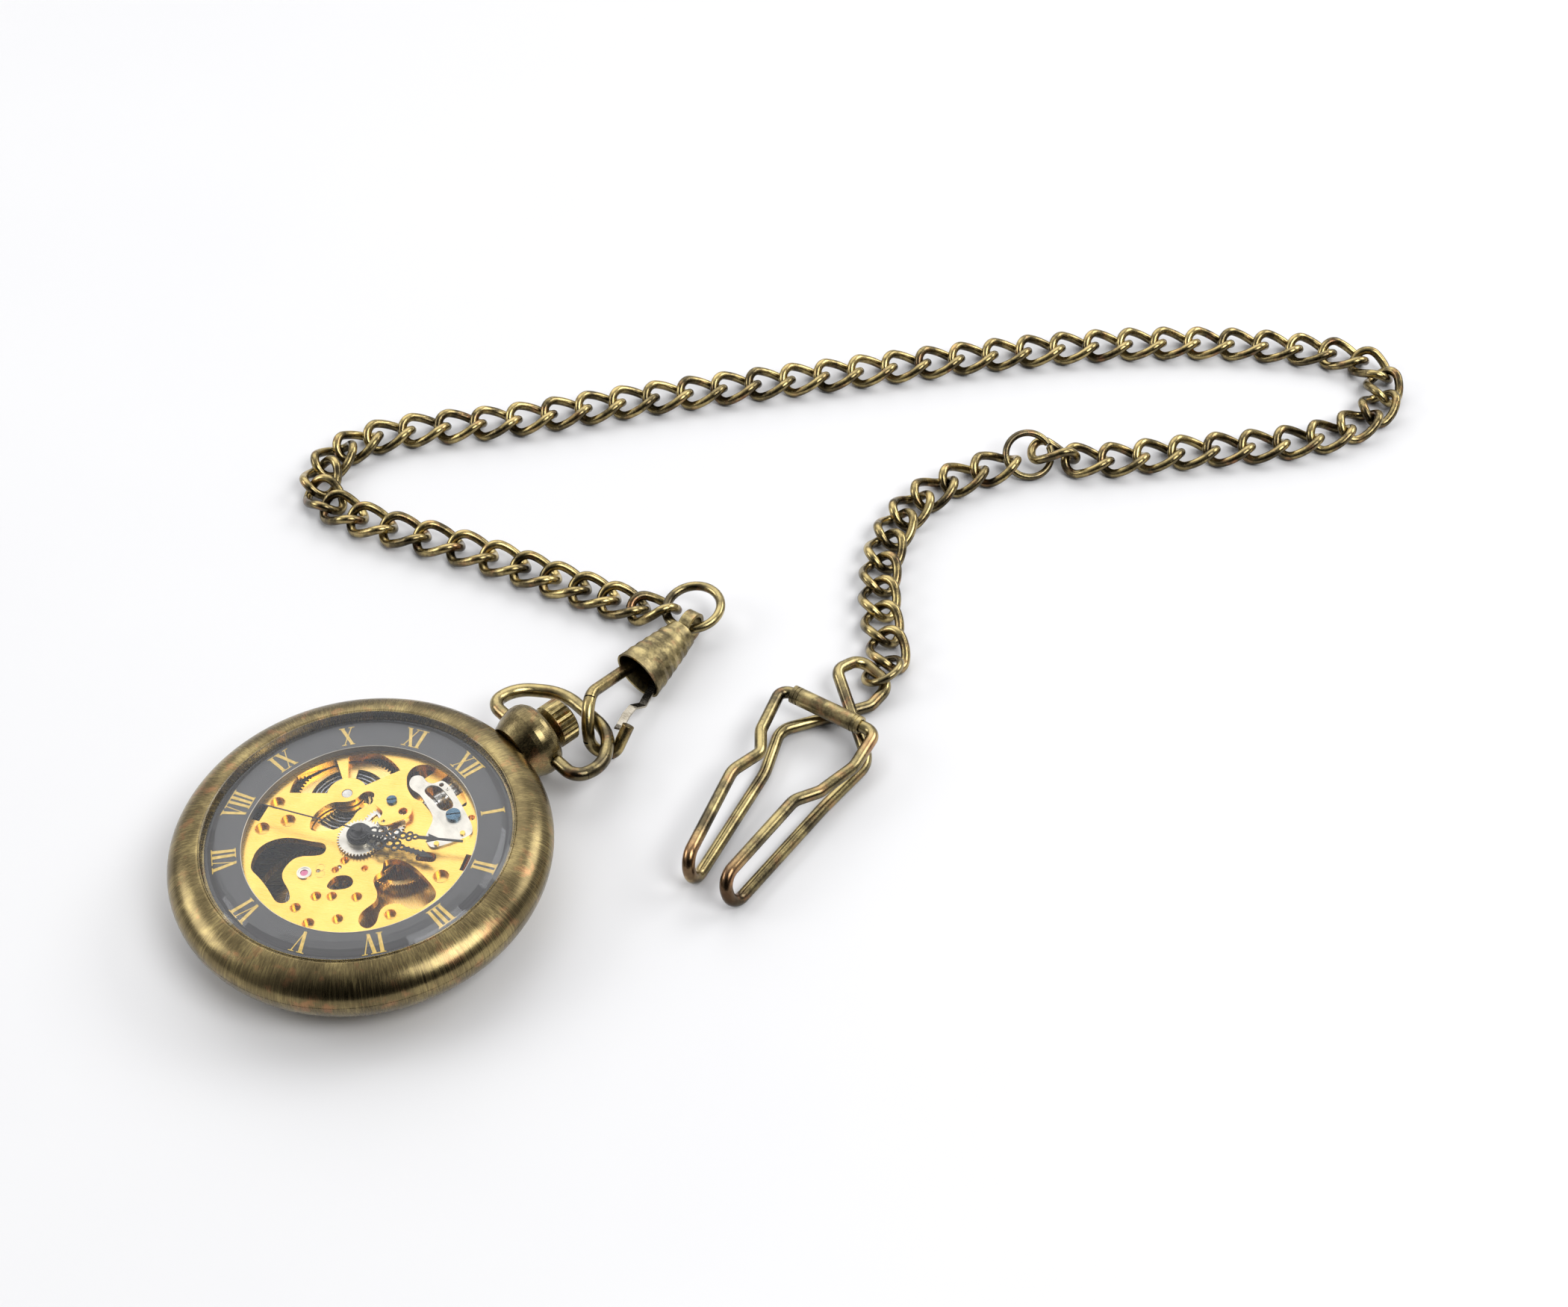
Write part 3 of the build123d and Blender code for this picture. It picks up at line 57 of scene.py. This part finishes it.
class Mat:
    """A node material built up from small steps, coordinates in millimetres."""

    def __init__(self, name):
        self.m = bpy.data.materials.new(name)
        self.m.use_nodes = True
        self.t = self.m.node_tree
        self.t.nodes.clear()
        self.out = self.t.nodes.new("ShaderNodeOutputMaterial")
        self.b = self.t.nodes.new("ShaderNodeBsdfPrincipled")
        self.t.links.new(self.b.outputs[0], self.out.inputs[0])
        tc = self.t.nodes.new("ShaderNodeTexCoord")
        self.obj = tc.outputs["Object"]
        self.nrm = tc.outputs["Normal"]
        sc = self.t.nodes.new("ShaderNodeVectorMath")
        sc.operation = "SCALE"
        sc.inputs[3].default_value = 1000.0
        self.link(self.obj, sc.inputs[0])
        self.mm = sc.outputs[0]

    def link(self, a, b):
        self.t.links.new(a, b)

    def set(self, **k):
        for n, v in k.items():
            s = self.b.inputs[n.replace("_", " ")]
            s.default_value = v
        return self

    def math(self, op, a, b=None, c=None):
        n = self.t.nodes.new("ShaderNodeMath")
        n.operation = op
        for i, v in enumerate((a, b, c)):
            if v is None:
                continue
            if isinstance(v, (int, float)):
                n.inputs[i].default_value = v
            else:
                self.link(v, n.inputs[i])
        return n.outputs[0]

    def sep(self, v):
        n = self.t.nodes.new("ShaderNodeSeparateXYZ")
        self.link(v, n.inputs[0])
        return n.outputs

    def comb(self, x, y, z):
        n = self.t.nodes.new("ShaderNodeCombineXYZ")
        for i, v in enumerate((x, y, z)):
            if isinstance(v, (int, float)):
                n.inputs[i].default_value = v
            else:
                self.link(v, n.inputs[i])
        return n.outputs[0]

    def scale(self, v, s):
        n = self.t.nodes.new("ShaderNodeVectorMath")
        n.operation = "MULTIPLY"
        self.link(v, n.inputs[0])
        n.inputs[1].default_value = s if isinstance(s, tuple) else (s, s, s)
        return n.outputs[0]

    def offset(self, v, c):
        n = self.t.nodes.new("ShaderNodeVectorMath")
        n.operation = "SUBTRACT"
        self.link(v, n.inputs[0])
        n.inputs[1].default_value = c
        return n.outputs[0]

    def noise(self, v, scale, detail=3.0, rough=0.55, dist=0.0):
        n = self.t.nodes.new("ShaderNodeTexNoise")
        self.link(v, n.inputs["Vector"])
        n.inputs["Scale"].default_value = scale
        n.inputs["Detail"].default_value = detail
        n.inputs["Roughness"].default_value = rough
        n.inputs["Distortion"].default_value = dist
        return n.outputs[0]

    def ramp(self, f, stops):
        n = self.t.nodes.new("ShaderNodeValToRGB")
        while len(n.color_ramp.elements) < len(stops):
            n.color_ramp.elements.new(0.5)
        for e, (p, c) in zip(n.color_ramp.elements, stops):
            e.position = p
            e.color = (c[0], c[1], c[2], 1.0) if isinstance(c, tuple) else (c, c, c, 1.0)
        self.link(f, n.inputs[0])
        return n.outputs[0]

    def maprange(self, f, a, b, c, d):
        n = self.t.nodes.new("ShaderNodeMapRange")
        self.link(f, n.inputs[0])
        for i, v in enumerate((a, b, c, d)):
            n.inputs[i + 1].default_value = v
        return n.outputs[0]

    def mix(self, f, a, b, mode="MIX"):
        n = self.t.nodes.new("ShaderNodeMix")
        n.data_type = "RGBA"
        n.blend_type = mode
        for i, v in ((0, f), (6, a), (7, b)):
            if isinstance(v, (int, float)):
                n.inputs[i].default_value = v
            elif isinstance(v, tuple):
                n.inputs[i].default_value = (v[0], v[1], v[2], 1.0)
            else:
                self.link(v, n.inputs[i])
        return n.outputs[2]

    def color(self, c):
        self.link(c, self.b.inputs["Base Color"])

    def rough(self, f, lo, hi):
        self.link(self.maprange(f, 0.25, 0.75, lo, hi), self.b.inputs["Roughness"])

    def bump(self, f, dist_mm, strength=1.0, soft=0.0):
        n = self.t.nodes.new("ShaderNodeBump")
        n.inputs["Strength"].default_value = strength
        n.inputs["Distance"].default_value = dist_mm * MM
        if soft:
            e = self.t.nodes.new("ShaderNodeBevel")
            e.samples = 4
            e.inputs["Radius"].default_value = soft * MM
            self.link(e.outputs[0], n.inputs["Normal"])
        self.link(f, n.inputs["Height"])
        self.link(n.outputs[0], self.b.inputs["Normal"])

    def polar(self, c=(0.0, 0.0, 0.0)):
        """(angle, radius, z) about a vertical axis through c, in mm."""
        x, y, z = self.sep(self.offset(self.mm, c))
        return self.math("ARCTAN2", y, x), self.math("SQRT", self.math("ADD", self.math("MULTIPLY", x, x), self.math("MULTIPLY", y, y))), z


def radial_grain(M, around=38.0, across=0.35, c=(0, 0, 0)):
    """Brush strokes that run outward across a ring; seamless round the turn."""
    a, r, z = M.polar(c)
    v = M.comb(M.math("MULTIPLY", M.math("COSINE", a), around), M.math("MULTIPLY", M.math("SINE", a), around), M.math("MULTIPLY", M.math("ADD", r, M.math("MULTIPLY", z, 0.6)), across))
    return M.noise(v, 3.2, 4, 0.65)


def ring_grain(M, c=(0, 0, 0), step=9.0):
    """Fine turned circles about a vertical axis."""
    a, r, z = M.polar(c)
    v = M.comb(M.math("MULTIPLY", r, step), M.math("MULTIPLY", z, step), M.math("MULTIPLY", M.math("COSINE", a), 0.8))
    return M.noise(v, 1.0, 3, 0.6)


def antique(name, grain="radial", dark=(0.05, 0.038, 0.02), mid=(0.2, 0.155, 0.075), lite=(0.52, 0.41, 0.18), patina=0.22, copper=0.35, top_light_and_wear=0.0, rough=(0.2, 0.34), gw=0.4, bump=0.012, soft=0.0, stops=(0.33, 0.5, 0.66, 0.8), tips=False):
    M = Mat(name)
    M.set(Metallic=1.0)
    p = M.noise(M.mm, patina, 5, 0.55, 0.4)
    if grain == "radial":
        g = radial_grain(M)
    elif grain == "axial":
        x, y, z = M.sep(M.mm)
        g = M.noise(M.comb(M.math("MULTIPLY", x, 9.0), M.math("MULTIPLY", y, 0.5), M.math("MULTIPLY", z, 9.0)), 1.0, 4, 0.6)
    else:
        g = M.noise(M.mm, 2.6, 6, 0.7)
    f = M.math("ADD", M.math("MULTIPLY", p, 1.0 - gw), M.math("MULTIPLY", g, gw))
    # painted light: faces turned up (object normal z) get a lighter tone and undersides a darker one, a painted
    # highlight on top and painted shade below, which also stands for wear polished onto the high points
    if top_light_and_wear:
        nz = M.sep(M.nrm)[2]
        f = M.math("ADD", f, M.math("MULTIPLY", nz, top_light_and_wear))
    base = M.ramp(f, list(zip(stops, (dark, mid, lite, tuple(min(1.0, v * 1.25) for v in lite)))))
    spots = M.ramp(M.noise(M.offset(M.mm, (31.0, 7.0, 3.0)), 0.45, 4, 0.6), [(0.56, 0.0), (0.68, copper)])
    if tips:
        # copper shows through where the bends of the clip rub
        for c, reach in (((26.4, 28.4, 5.1), 4.2), ((32.6, 29.6, 5.1), 4.4), ((29.3, 56.5, 4.2), 2.6)):
            d = M.t.nodes.new("ShaderNodeVectorMath")
            d.operation = "DISTANCE"
            M.link(M.mm, d.inputs[0])
            d.inputs[1].default_value = c
            near = M.math("MULTIPLY", M.maprange(d.outputs["Value"], 0.6, reach, 0.5, 0.0), M.ramp(p, [(0.35, 0.35), (0.55, 1.0)]))
            spots = M.math("MAXIMUM", spots, near)
    M.color(M.mix(spots, base, (0.55, 0.24, 0.12)))
    M.rough(g, rough[0], rough[1])
    fine = M.noise(M.mm, 9.0, 3, 0.6)
    M.bump(M.math("ADD", M.math("MULTIPLY", g, 0.8), M.math("MULTIPLY", fine, 0.25)), bump, 0.5, soft)
    return M.m


def gilt(name, base=(0.9, 0.57, 0.145), deep=(0.76, 0.43, 0.08), grain="line", c=(0, 0, 0), rough=(0.2, 0.34), ang=38.0):
    M = Mat(name)
    M.set(Metallic=1.0)
    if grain == "line":
        x, y, z = M.sep(M.mm)
        ca, sa = math.cos(math.radians(ang)), math.sin(math.radians(ang))
        u = M.math("ADD", M.math("MULTIPLY", x, ca), M.math("MULTIPLY", y, sa))
        w = M.math("SUBTRACT", M.math("MULTIPLY", y, ca), M.math("MULTIPLY", x, sa))
        g = M.noise(M.comb(M.math("MULTIPLY", u, 0.6), M.math("MULTIPLY", w, 11.0), z), 1.0, 4, 0.6)
    else:
        g = ring_grain(M, c)
    blot = M.noise(M.mm, 0.35, 4, 0.5)
    f = M.math("ADD", M.math("MULTIPLY", g, 0.5), M.math("MULTIPLY", blot, 0.5))
    M.color(M.ramp(f, [(0.3, deep), (0.62, base)]))
    M.rough(g, rough[0], rough[1])
    M.bump(g, 0.008, 0.4)
    return M.m


def steel(name, a=(0.62, 0.61, 0.58), b=(0.34, 0.33, 0.31), rough=(0.2, 0.36), scale=1.6, c=None, bump=0.006):
    M = Mat(name)
    M.set(Metallic=1.0)
    g = ring_grain(M, c) if c else M.noise(M.comb(*[M.math("MULTIPLY", s, k) for s, k in zip(M.sep(M.mm), (1.0, 7.0, 1.0))]), scale, 4, 0.6)
    blot = M.noise(M.mm, 0.5, 5, 0.6)
    M.color(M.ramp(M.math("ADD", M.math("MULTIPLY", g, 0.4), M.math("MULTIPLY", blot, 0.6)), [(0.32, b), (0.58, a)]))
    M.rough(g, rough[0], rough[1])
    M.bump(g, bump, 0.4)
    return M.m


CASE = antique("case_antique_brass", stops=(0.24, 0.5, 0.74, 0.86), gw=0.45)
PEND = antique("pendant_antique_brass", grain="axial", lite=(0.42, 0.34, 0.16), patina=0.3)
BACK = antique("back_antique_brass", lite=(0.5, 0.4, 0.18), patina=0.12)
# the chain, clip, sleeve and crown get a painted highlight on their upward faces and painted shade on their
# undersides, partly standing for wear on the high points
CHAIN = antique("chain_antique_brass", grain="spots", dark=(0.03, 0.024, 0.014), mid=(0.12, 0.094, 0.05), lite=(0.5, 0.39, 0.17), patina=0.3, top_light_and_wear=0.12, copper=0.3, rough=(0.18, 0.3), gw=0.2, bump=0.008, soft=0.14)
CLIPM = antique("clip_antique_brass", grain="spots", dark=(0.035, 0.029, 0.018), mid=(0.13, 0.105, 0.06), lite=(0.46, 0.37, 0.17), patina=0.2, top_light_and_wear=0.1, copper=0.3, rough=(0.16, 0.28), gw=0.2, bump=0.008, soft=0.18, tips=True)
SLEEVE = antique("sleeve_antique_brass", grain="spots", dark=(0.07, 0.055, 0.03), mid=(0.18, 0.145, 0.075), lite=(0.52, 0.42, 0.2), patina=0.4, top_light_and_wear=0.08, copper=0.3, rough=(0.26, 0.42), gw=0.35, bump=0.014)
CROWN = antique("crown_antique_brass", grain="axial", dark=(0.03, 0.022, 0.012), mid=(0.15, 0.115, 0.05), lite=(0.5, 0.4, 0.18), patina=0.5, top_light_and_wear=0.05)
GILT = gilt("plate_gilt")
GILT_B = gilt("bridge_gilt", base=(0.9, 0.6, 0.2), deep=(0.66, 0.4, 0.12), ang=-20)
WHEEL = gilt("wheel_brass", base=(0.93, 0.66, 0.28), deep=(0.6, 0.38, 0.12), grain="ring")
BARREL = gilt("barrel_brass", base=(0.95, 0.66, 0.24), deep=(0.66, 0.4, 0.12), grain="ring", c=(-7.0, 2.95, 0))
STEEL = steel("polished_steel")
SLS = steel("lever_spring_steel", a=(0.66, 0.63, 0.56), b=(0.44, 0.42, 0.37), rough=(0.26, 0.42))
GATE = steel("gate_steel", a=(0.5, 0.46, 0.38), b=(0.22, 0.19, 0.14), rough=(0.18, 0.32), bump=0.02)
SPRING = steel("spring_steel", a=(0.3, 0.31, 0.33), b=(0.12, 0.12, 0.14))
BLUED = steel("blued_steel", a=(0.09, 0.17, 0.24), b=(0.03, 0.06, 0.1), rough=(0.2, 0.34), scale=2.5)
BACKPLATE = antique("case_inside", grain="spots", dark=(0.1, 0.085, 0.06), mid=(0.2, 0.18, 0.13), lite=(0.33, 0.3, 0.22), patina=0.2, copper=0.0, rough=(0.35, 0.5))


def dial_paint():
    M = Mat("dial_grey")
    a, r, z = M.polar()
    g = M.noise(M.comb(M.math("MULTIPLY", r, 12.0), M.math("MULTIPLY", M.math("COSINE", a), 3.0), M.math("MULTIPLY", M.math("SINE", a), 3.0)), 1.0, 3, 0.6)
    specks = M.ramp(M.noise(M.mm, 5.5, 2, 0.5), [(0.70, 0.0), (0.78, 1.0)])
    M.color(M.mix(M.math("MULTIPLY", specks, 0.18), M.ramp(g, [(0.3, (0.06, 0.06, 0.062)), (0.7, (0.095, 0.095, 0.098))]), (0.5, 0.5, 0.5)))
    M.set(Metallic=0.2)
    M.rough(g, 0.34, 0.46)
    M.bump(g, 0.01, 0.3)
    return M.m


def black_lacquer():
    M = Mat("hand_black")
    g = M.noise(M.mm, 3.0, 3, 0.5)
    M.color(M.ramp(g, [(0.3, (0.006, 0.006, 0.007)), (0.7, (0.02, 0.02, 0.022))]))
    M.set(Metallic=0.2)
    M.rough(g, 0.25, 0.4)
    M.bump(M.noise(M.mm, 8.0, 3, 0.5), 0.006, 0.3)
    return M.m


def ruby():
    M = Mat("ruby")
    g = M.noise(M.mm, 2.0, 3, 0.5)
    M.color(M.ramp(g, [(0.3, (0.55, 0.03, 0.16)), (0.7, (0.85, 0.2, 0.4))]))
    M.set(IOR=1.76)
    M.rough(g, 0.04, 0.12)
    M.bump(g, 0.003, 0.2)
    return M.m


def crystal():
    M = Mat("crystal")
    g = M.noise(M.mm, 0.8, 4, 0.5)
    M.color(M.ramp(g, [(0.3, (0.9, 0.93, 0.96)), (0.7, (0.96, 0.97, 0.98))]))
    M.rough(g, 0.02, 0.05)
    M.set(Metallic=1.0)
    lw = M.t.nodes.new("ShaderNodeLayerWeight")
    lw.inputs[0].default_value = 0.5
    M.link(M.ramp(lw.outputs["Facing"], [(0.0, 0.02), (0.35, 0.03), (0.6, 0.08), (0.85, 0.35), (1.0, 0.75)]), M.b.inputs["Alpha"])
    return M.m


def numeral_paint():
    M = Mat("numeral_gold")
    g = M.noise(M.mm, 2.2, 4, 0.6)
    M.color(M.ramp(g, [(0.3, (0.52, 0.36, 0.09)), (0.7, (0.8, 0.58, 0.18))]))
    M.set(Metallic=0.4)
    M.rough(g, 0.35, 0.5)
    M.bump(g, 0.01, 0.3)
    return M.m


DIAL, HANDS, RUBY, CRYSTAL, GOLD = dial_paint(), black_lacquer(), ruby(), crystal(), numeral_paint()
PAINT = {
    "case_band": CASE, "front_bezel": CASE, "back_cover": BACK, "pendant": PEND, "bow": CLIPM, "crown": CROWN, "winding_stem": STEEL,
    "front_crystal": CRYSTAL, "movement_ring": BACKPLATE, "dial_ring": DIAL, "main_plate": GILT, "barrel": BARREL, "barrel_arbor": STEEL,
    "mainspring": SPRING, "barrel_bridge": GILT_B, "train_bridge": GILT_B, "centre_wheel": WHEEL, "third_wheel": WHEEL, "fourth_wheel": WHEEL,
    "escape_wheel": STEEL, "pallet_fork": STEEL, "balance_wheel": WHEEL, "hairspring": SPRING, "balance_cock": GILT_B, "shock_setting": SLS,
    "jewels": RUBY, "ratchet_wheel": STEEL, "crown_wheel": STEEL, "click": STEEL, "winding_pinion": STEEL, "clutch_wheel": STEEL,
    "setting_lever_spring": SLS, "minute_wheel": STEEL, "minute_wheel_cock": GILT, "cannon_pinion": HANDS, "hour_wheel": SLS, "hour_hand": HANDS,
    "minute_hand": HANDS, "second_hand": HANDS, "blued_screws": BLUED, "movement_screws": STEEL, "clasp_hook": CHAIN, "clasp_sleeve": SLEEVE,
    "clasp_gate": GATE, "clasp_strap": SLEEVE, "clasp_ring": CLIPM, "connecting_link": CHAIN, "split_ring": CLIPM, "end_ring": CLIPM,
    "clip_wire": CLIPM, "clip_sleeve": SLEEVE,
}
for name, o in N.items():
    mat = PAINT.get(name, CHAIN)
    o.data.materials.clear()
    o.data.materials.append(mat)


# ------------------------------------------------------------------ new pieces
def piece(name, bm, mat, body, smooth=False):
    me = bpy.data.meshes.new(name)
    bmesh.ops.recalc_face_normals(bm, faces=bm.faces)
    bm.to_mesh(me)
    bm.free()
    o = bpy.data.objects.new(name, me)
    bpy.context.scene.collection.objects.link(o)
    me.materials.append(mat)
    if smooth:
        for p in me.polygons:
            p.use_smooth = True
    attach(o, body)
    return o


def prism(bm, pts, z0, z1):
    """Adds a closed prism of a flat outline given in mm."""
    lo = [bm.verts.new((x * MM, y * MM, z0 * MM)) for x, y in pts]
    hi = [bm.verts.new((x * MM, y * MM, z1 * MM)) for x, y in pts]
    bm.faces.new(lo[::-1])
    bm.faces.new(hi)
    n = len(pts)
    for i in range(n):
        bm.faces.new((lo[i], lo[(i + 1) % n], hi[(i + 1) % n], hi[i]))


H = 2.85   # numeral height
THICK, THIN, SER = 0.42, 0.13, 0.12


def stroke(x0, x1, w, h=H):
    """A slanted stroke from (x0, 0) at the foot to (x1, h) at the head."""
    return [(x0 - w / 2, 0), (x0 + w / 2, 0), (x1 + w / 2, h), (x1 - w / 2, h)]


def serif(x, w, y):
    return [(x - w / 2, y - SER / 2), (x + w / 2, y - SER / 2), (x + w / 2, y + SER / 2), (x - w / 2, y + SER / 2)]


def glyph(ch):
    """(polygons, width) of I, V or X with slab serifs."""
    if ch == "I":
        return [stroke(0.36, 0.36, THICK), serif(0.36, 0.78, SER / 2), serif(0.36, 0.78, H - SER / 2)], 0.72
    if ch == "V":
        return [stroke(0.98, 0.42, THICK), stroke(0.98, 1.46, THIN), serif(0.42, 0.8, H - SER / 2), serif(1.46, 0.6, H - SER / 2)], 1.8
    return [stroke(1.5, 0.42, THICK), stroke(0.42, 1.5, THIN), serif(0.42, 0.66, H - SER / 2), serif(1.5, 0.66, H - SER / 2), serif(0.42, 0.66, SER / 2), serif(1.5, 0.66, SER / 2)], 1.92


R_FOOT = 14.35
for k, text in enumerate(["XII", "I", "II", "III", "IV", "V", "VI", "VII", "VIII", "IX", "X", "XI"]):
    polys, x = [], 0.0
    for ch in text:
        g, w = glyph(ch)
        polys += [[(px + x, py) for px, py in p] for p in g]
        x += w + 0.02
    total = x
    sq = min(1.0, 3.7 / total)
    bm = bmesh.new()
    az = math.radians(90 - 30 * k)
    er, et = Vector((math.cos(az), math.sin(az))), Vector((math.sin(az), -math.cos(az)))
    for n, p in enumerate(polys):
        q = []
        for px, py in p:
            u = (px - total / 2) * sq
            v = R_FOOT + py
            # the letters splay with the radius so that they stand square on the ring
            u *= v / 15.8
            d = er * v + et * u
            q.append((d.x, d.y))
        prism(bm, q, 8.5, 8.53 + 0.0015 * n)
    piece("numeral_%02d" % (12 if k == 0 else k), bm, GOLD, "case")

# engraved tracks round two of the plate's holes, and the curb round the shock jewel
def torus(name, c, Rr, r, mat, body, n=72, m=8, flat=1.0):
    bm = bmesh.new()
    rows = []
    for i in range(n):
        a = 2 * math.pi * i / n
        row = []
        for j in range(m):
            b = 2 * math.pi * j / m
            rr = Rr + r * math.cos(b)
            row.append(bm.verts.new(((c[0] + rr * math.cos(a)) * MM, (c[1] + rr * math.sin(a)) * MM, (c[2] + flat * r * math.sin(b)) * MM)))
        rows.append(row)
    for i in range(n):
        for j in range(m):
            bm.faces.new((rows[i][j], rows[(i + 1) % n][j], rows[(i + 1) % n][(j + 1) % m], rows[i][(j + 1) % m]))
    return piece(name, bm, mat, body, True)


HOLES = [(3.13, -8.5, 0.6), (4.38, -7.18, 0.58), (6.44, -5.13, 0.6), (2.85, -11.16, 0.6), (5.7, -11.34, 0.68), (7.5, -8.55, 0.62), (11.1, -3.75, 0.66), (-11.5, -3.97, 0.85), (-8.39, -4.57, 0.85), (-9.49, -7.47, 0.85), (10.72, 3.75, 0.9), (1.14, -3.11, 0.5), (3.68, -2.07, 0.38), (1.51, -4.69, 0.42)]
for i, (x, y, r) in enumerate(HOLES):
    torus("hole_rim_%02d" % i, (x, y, 7.6), r + 0.03, 0.05, GILT, "case", 40, 6, 0.6)
torus("plate_track_1", (0.05, -5.79, 7.6), 0.5, 0.03, WHEEL, "case")
torus("plate_track_2", (0.83, -6.32, 7.6), 0.5, 0.03, WHEEL, "case")
torus("crystal_seat", (0, 0, 9.66), 18.45, 0.12, CASE, "case", 180, 8)
torus("dial_inner_lip", (0, 0, 8.5), 13.85, 0.05, SLS, "case", 180, 6)

# ------------------------------------------------------------------ stage
bpy.ops.mesh.primitive_plane_add(size=6.0, location=(0, 0, -0.00005))
floor = bpy.context.object
floor.name = "floor"
fm = Mat("floor_white")
g = fm.noise(fm.mm, 0.02, 3, 0.5)
fm.color(fm.ramp(g, [(0.3, (0.86, 0.86, 0.87)), (0.7, (0.88, 0.88, 0.885))]))
fm.rough(g, 0.45, 0.6)
floor.data.materials.append(fm.m)


def area(name, loc, target, size, power, color=(1, 1, 1), sy=None):
    d = bpy.data.lights.new(name, "AREA")
    d.shape = "RECTANGLE"
    d.size = size
    d.size_y = sy or size
    d.energy = power
    d.color = color
    o = bpy.data.objects.new(name, d)
    o.location = loc
    o.rotation_euler = (Vector(target) - Vector(loc)).to_track_quat("-Z", "Y").to_euler()
    bpy.context.scene.collection.objects.link(o)


C0 = (-0.01, 0.07, 0.0)
area("softbox", (-0.40, 0.28, 0.46), C0, 0.62, 1.25)
area("fill", (0.40, 0.12, 0.55), C0, 0.34, 2.1)
area("back", (0.16, 0.62, 0.42), C0, 0.42, 1.4, sy=0.25)
area("left", (-0.36, -0.30, 0.30), C0, 0.30, 0.7, sy=0.2)

w = bpy.data.worlds.new("world")
bpy.context.scene.world = w
w.use_nodes = True
wt = w.node_tree
bg = wt.nodes["Background"]
tc = wt.nodes.new("ShaderNodeTexCoord")


def lobe(direction, stops):
    """Sky brightness against the angle from one fixed direction."""
    v = wt.nodes.new("ShaderNodeVectorMath")
    v.operation = "DOT_PRODUCT"
    wt.links.new(tc.outputs["Generated"], v.inputs[0])
    v.inputs[1].default_value = Vector(direction).normalized()
    r = wt.nodes.new("ShaderNodeValToRGB")
    r.color_ramp.elements[0].position, r.color_ramp.elements[1].position = stops[0][0], stops[-1][0]
    for k, e in ((0, stops[0]), (-1, stops[-1])):
        r.color_ramp.elements[k].color = (e[1], e[1], e[1] * 1.01, 1)
    for p, c in stops[1:-1]:
        n = r.color_ramp.elements.new(p)
        n.color = (c, c, c * 1.01, 1)
    wt.links.new(v.outputs["Value"], r.inputs[0])
    return r.outputs[0]


sky = wt.nodes.new("ShaderNodeVectorMath")
sky.operation = "MULTIPLY"
wt.links.new(lobe((-0.58, 0.32, 0.75), [(0.0, 0.34), (0.5, 0.46), (0.8, 0.78), (1.0, 0.82)]), sky.inputs[0])
wt.links.new(lobe((0.78, -0.36, 0.5), [(0.0, 1.0), (0.5, 0.75), (0.76, 0.04), (1.0, 0.02)]), sky.inputs[1])
wt.links.new(sky.outputs[0], bg.inputs[0])
bg.inputs[1].default_value = 0.95
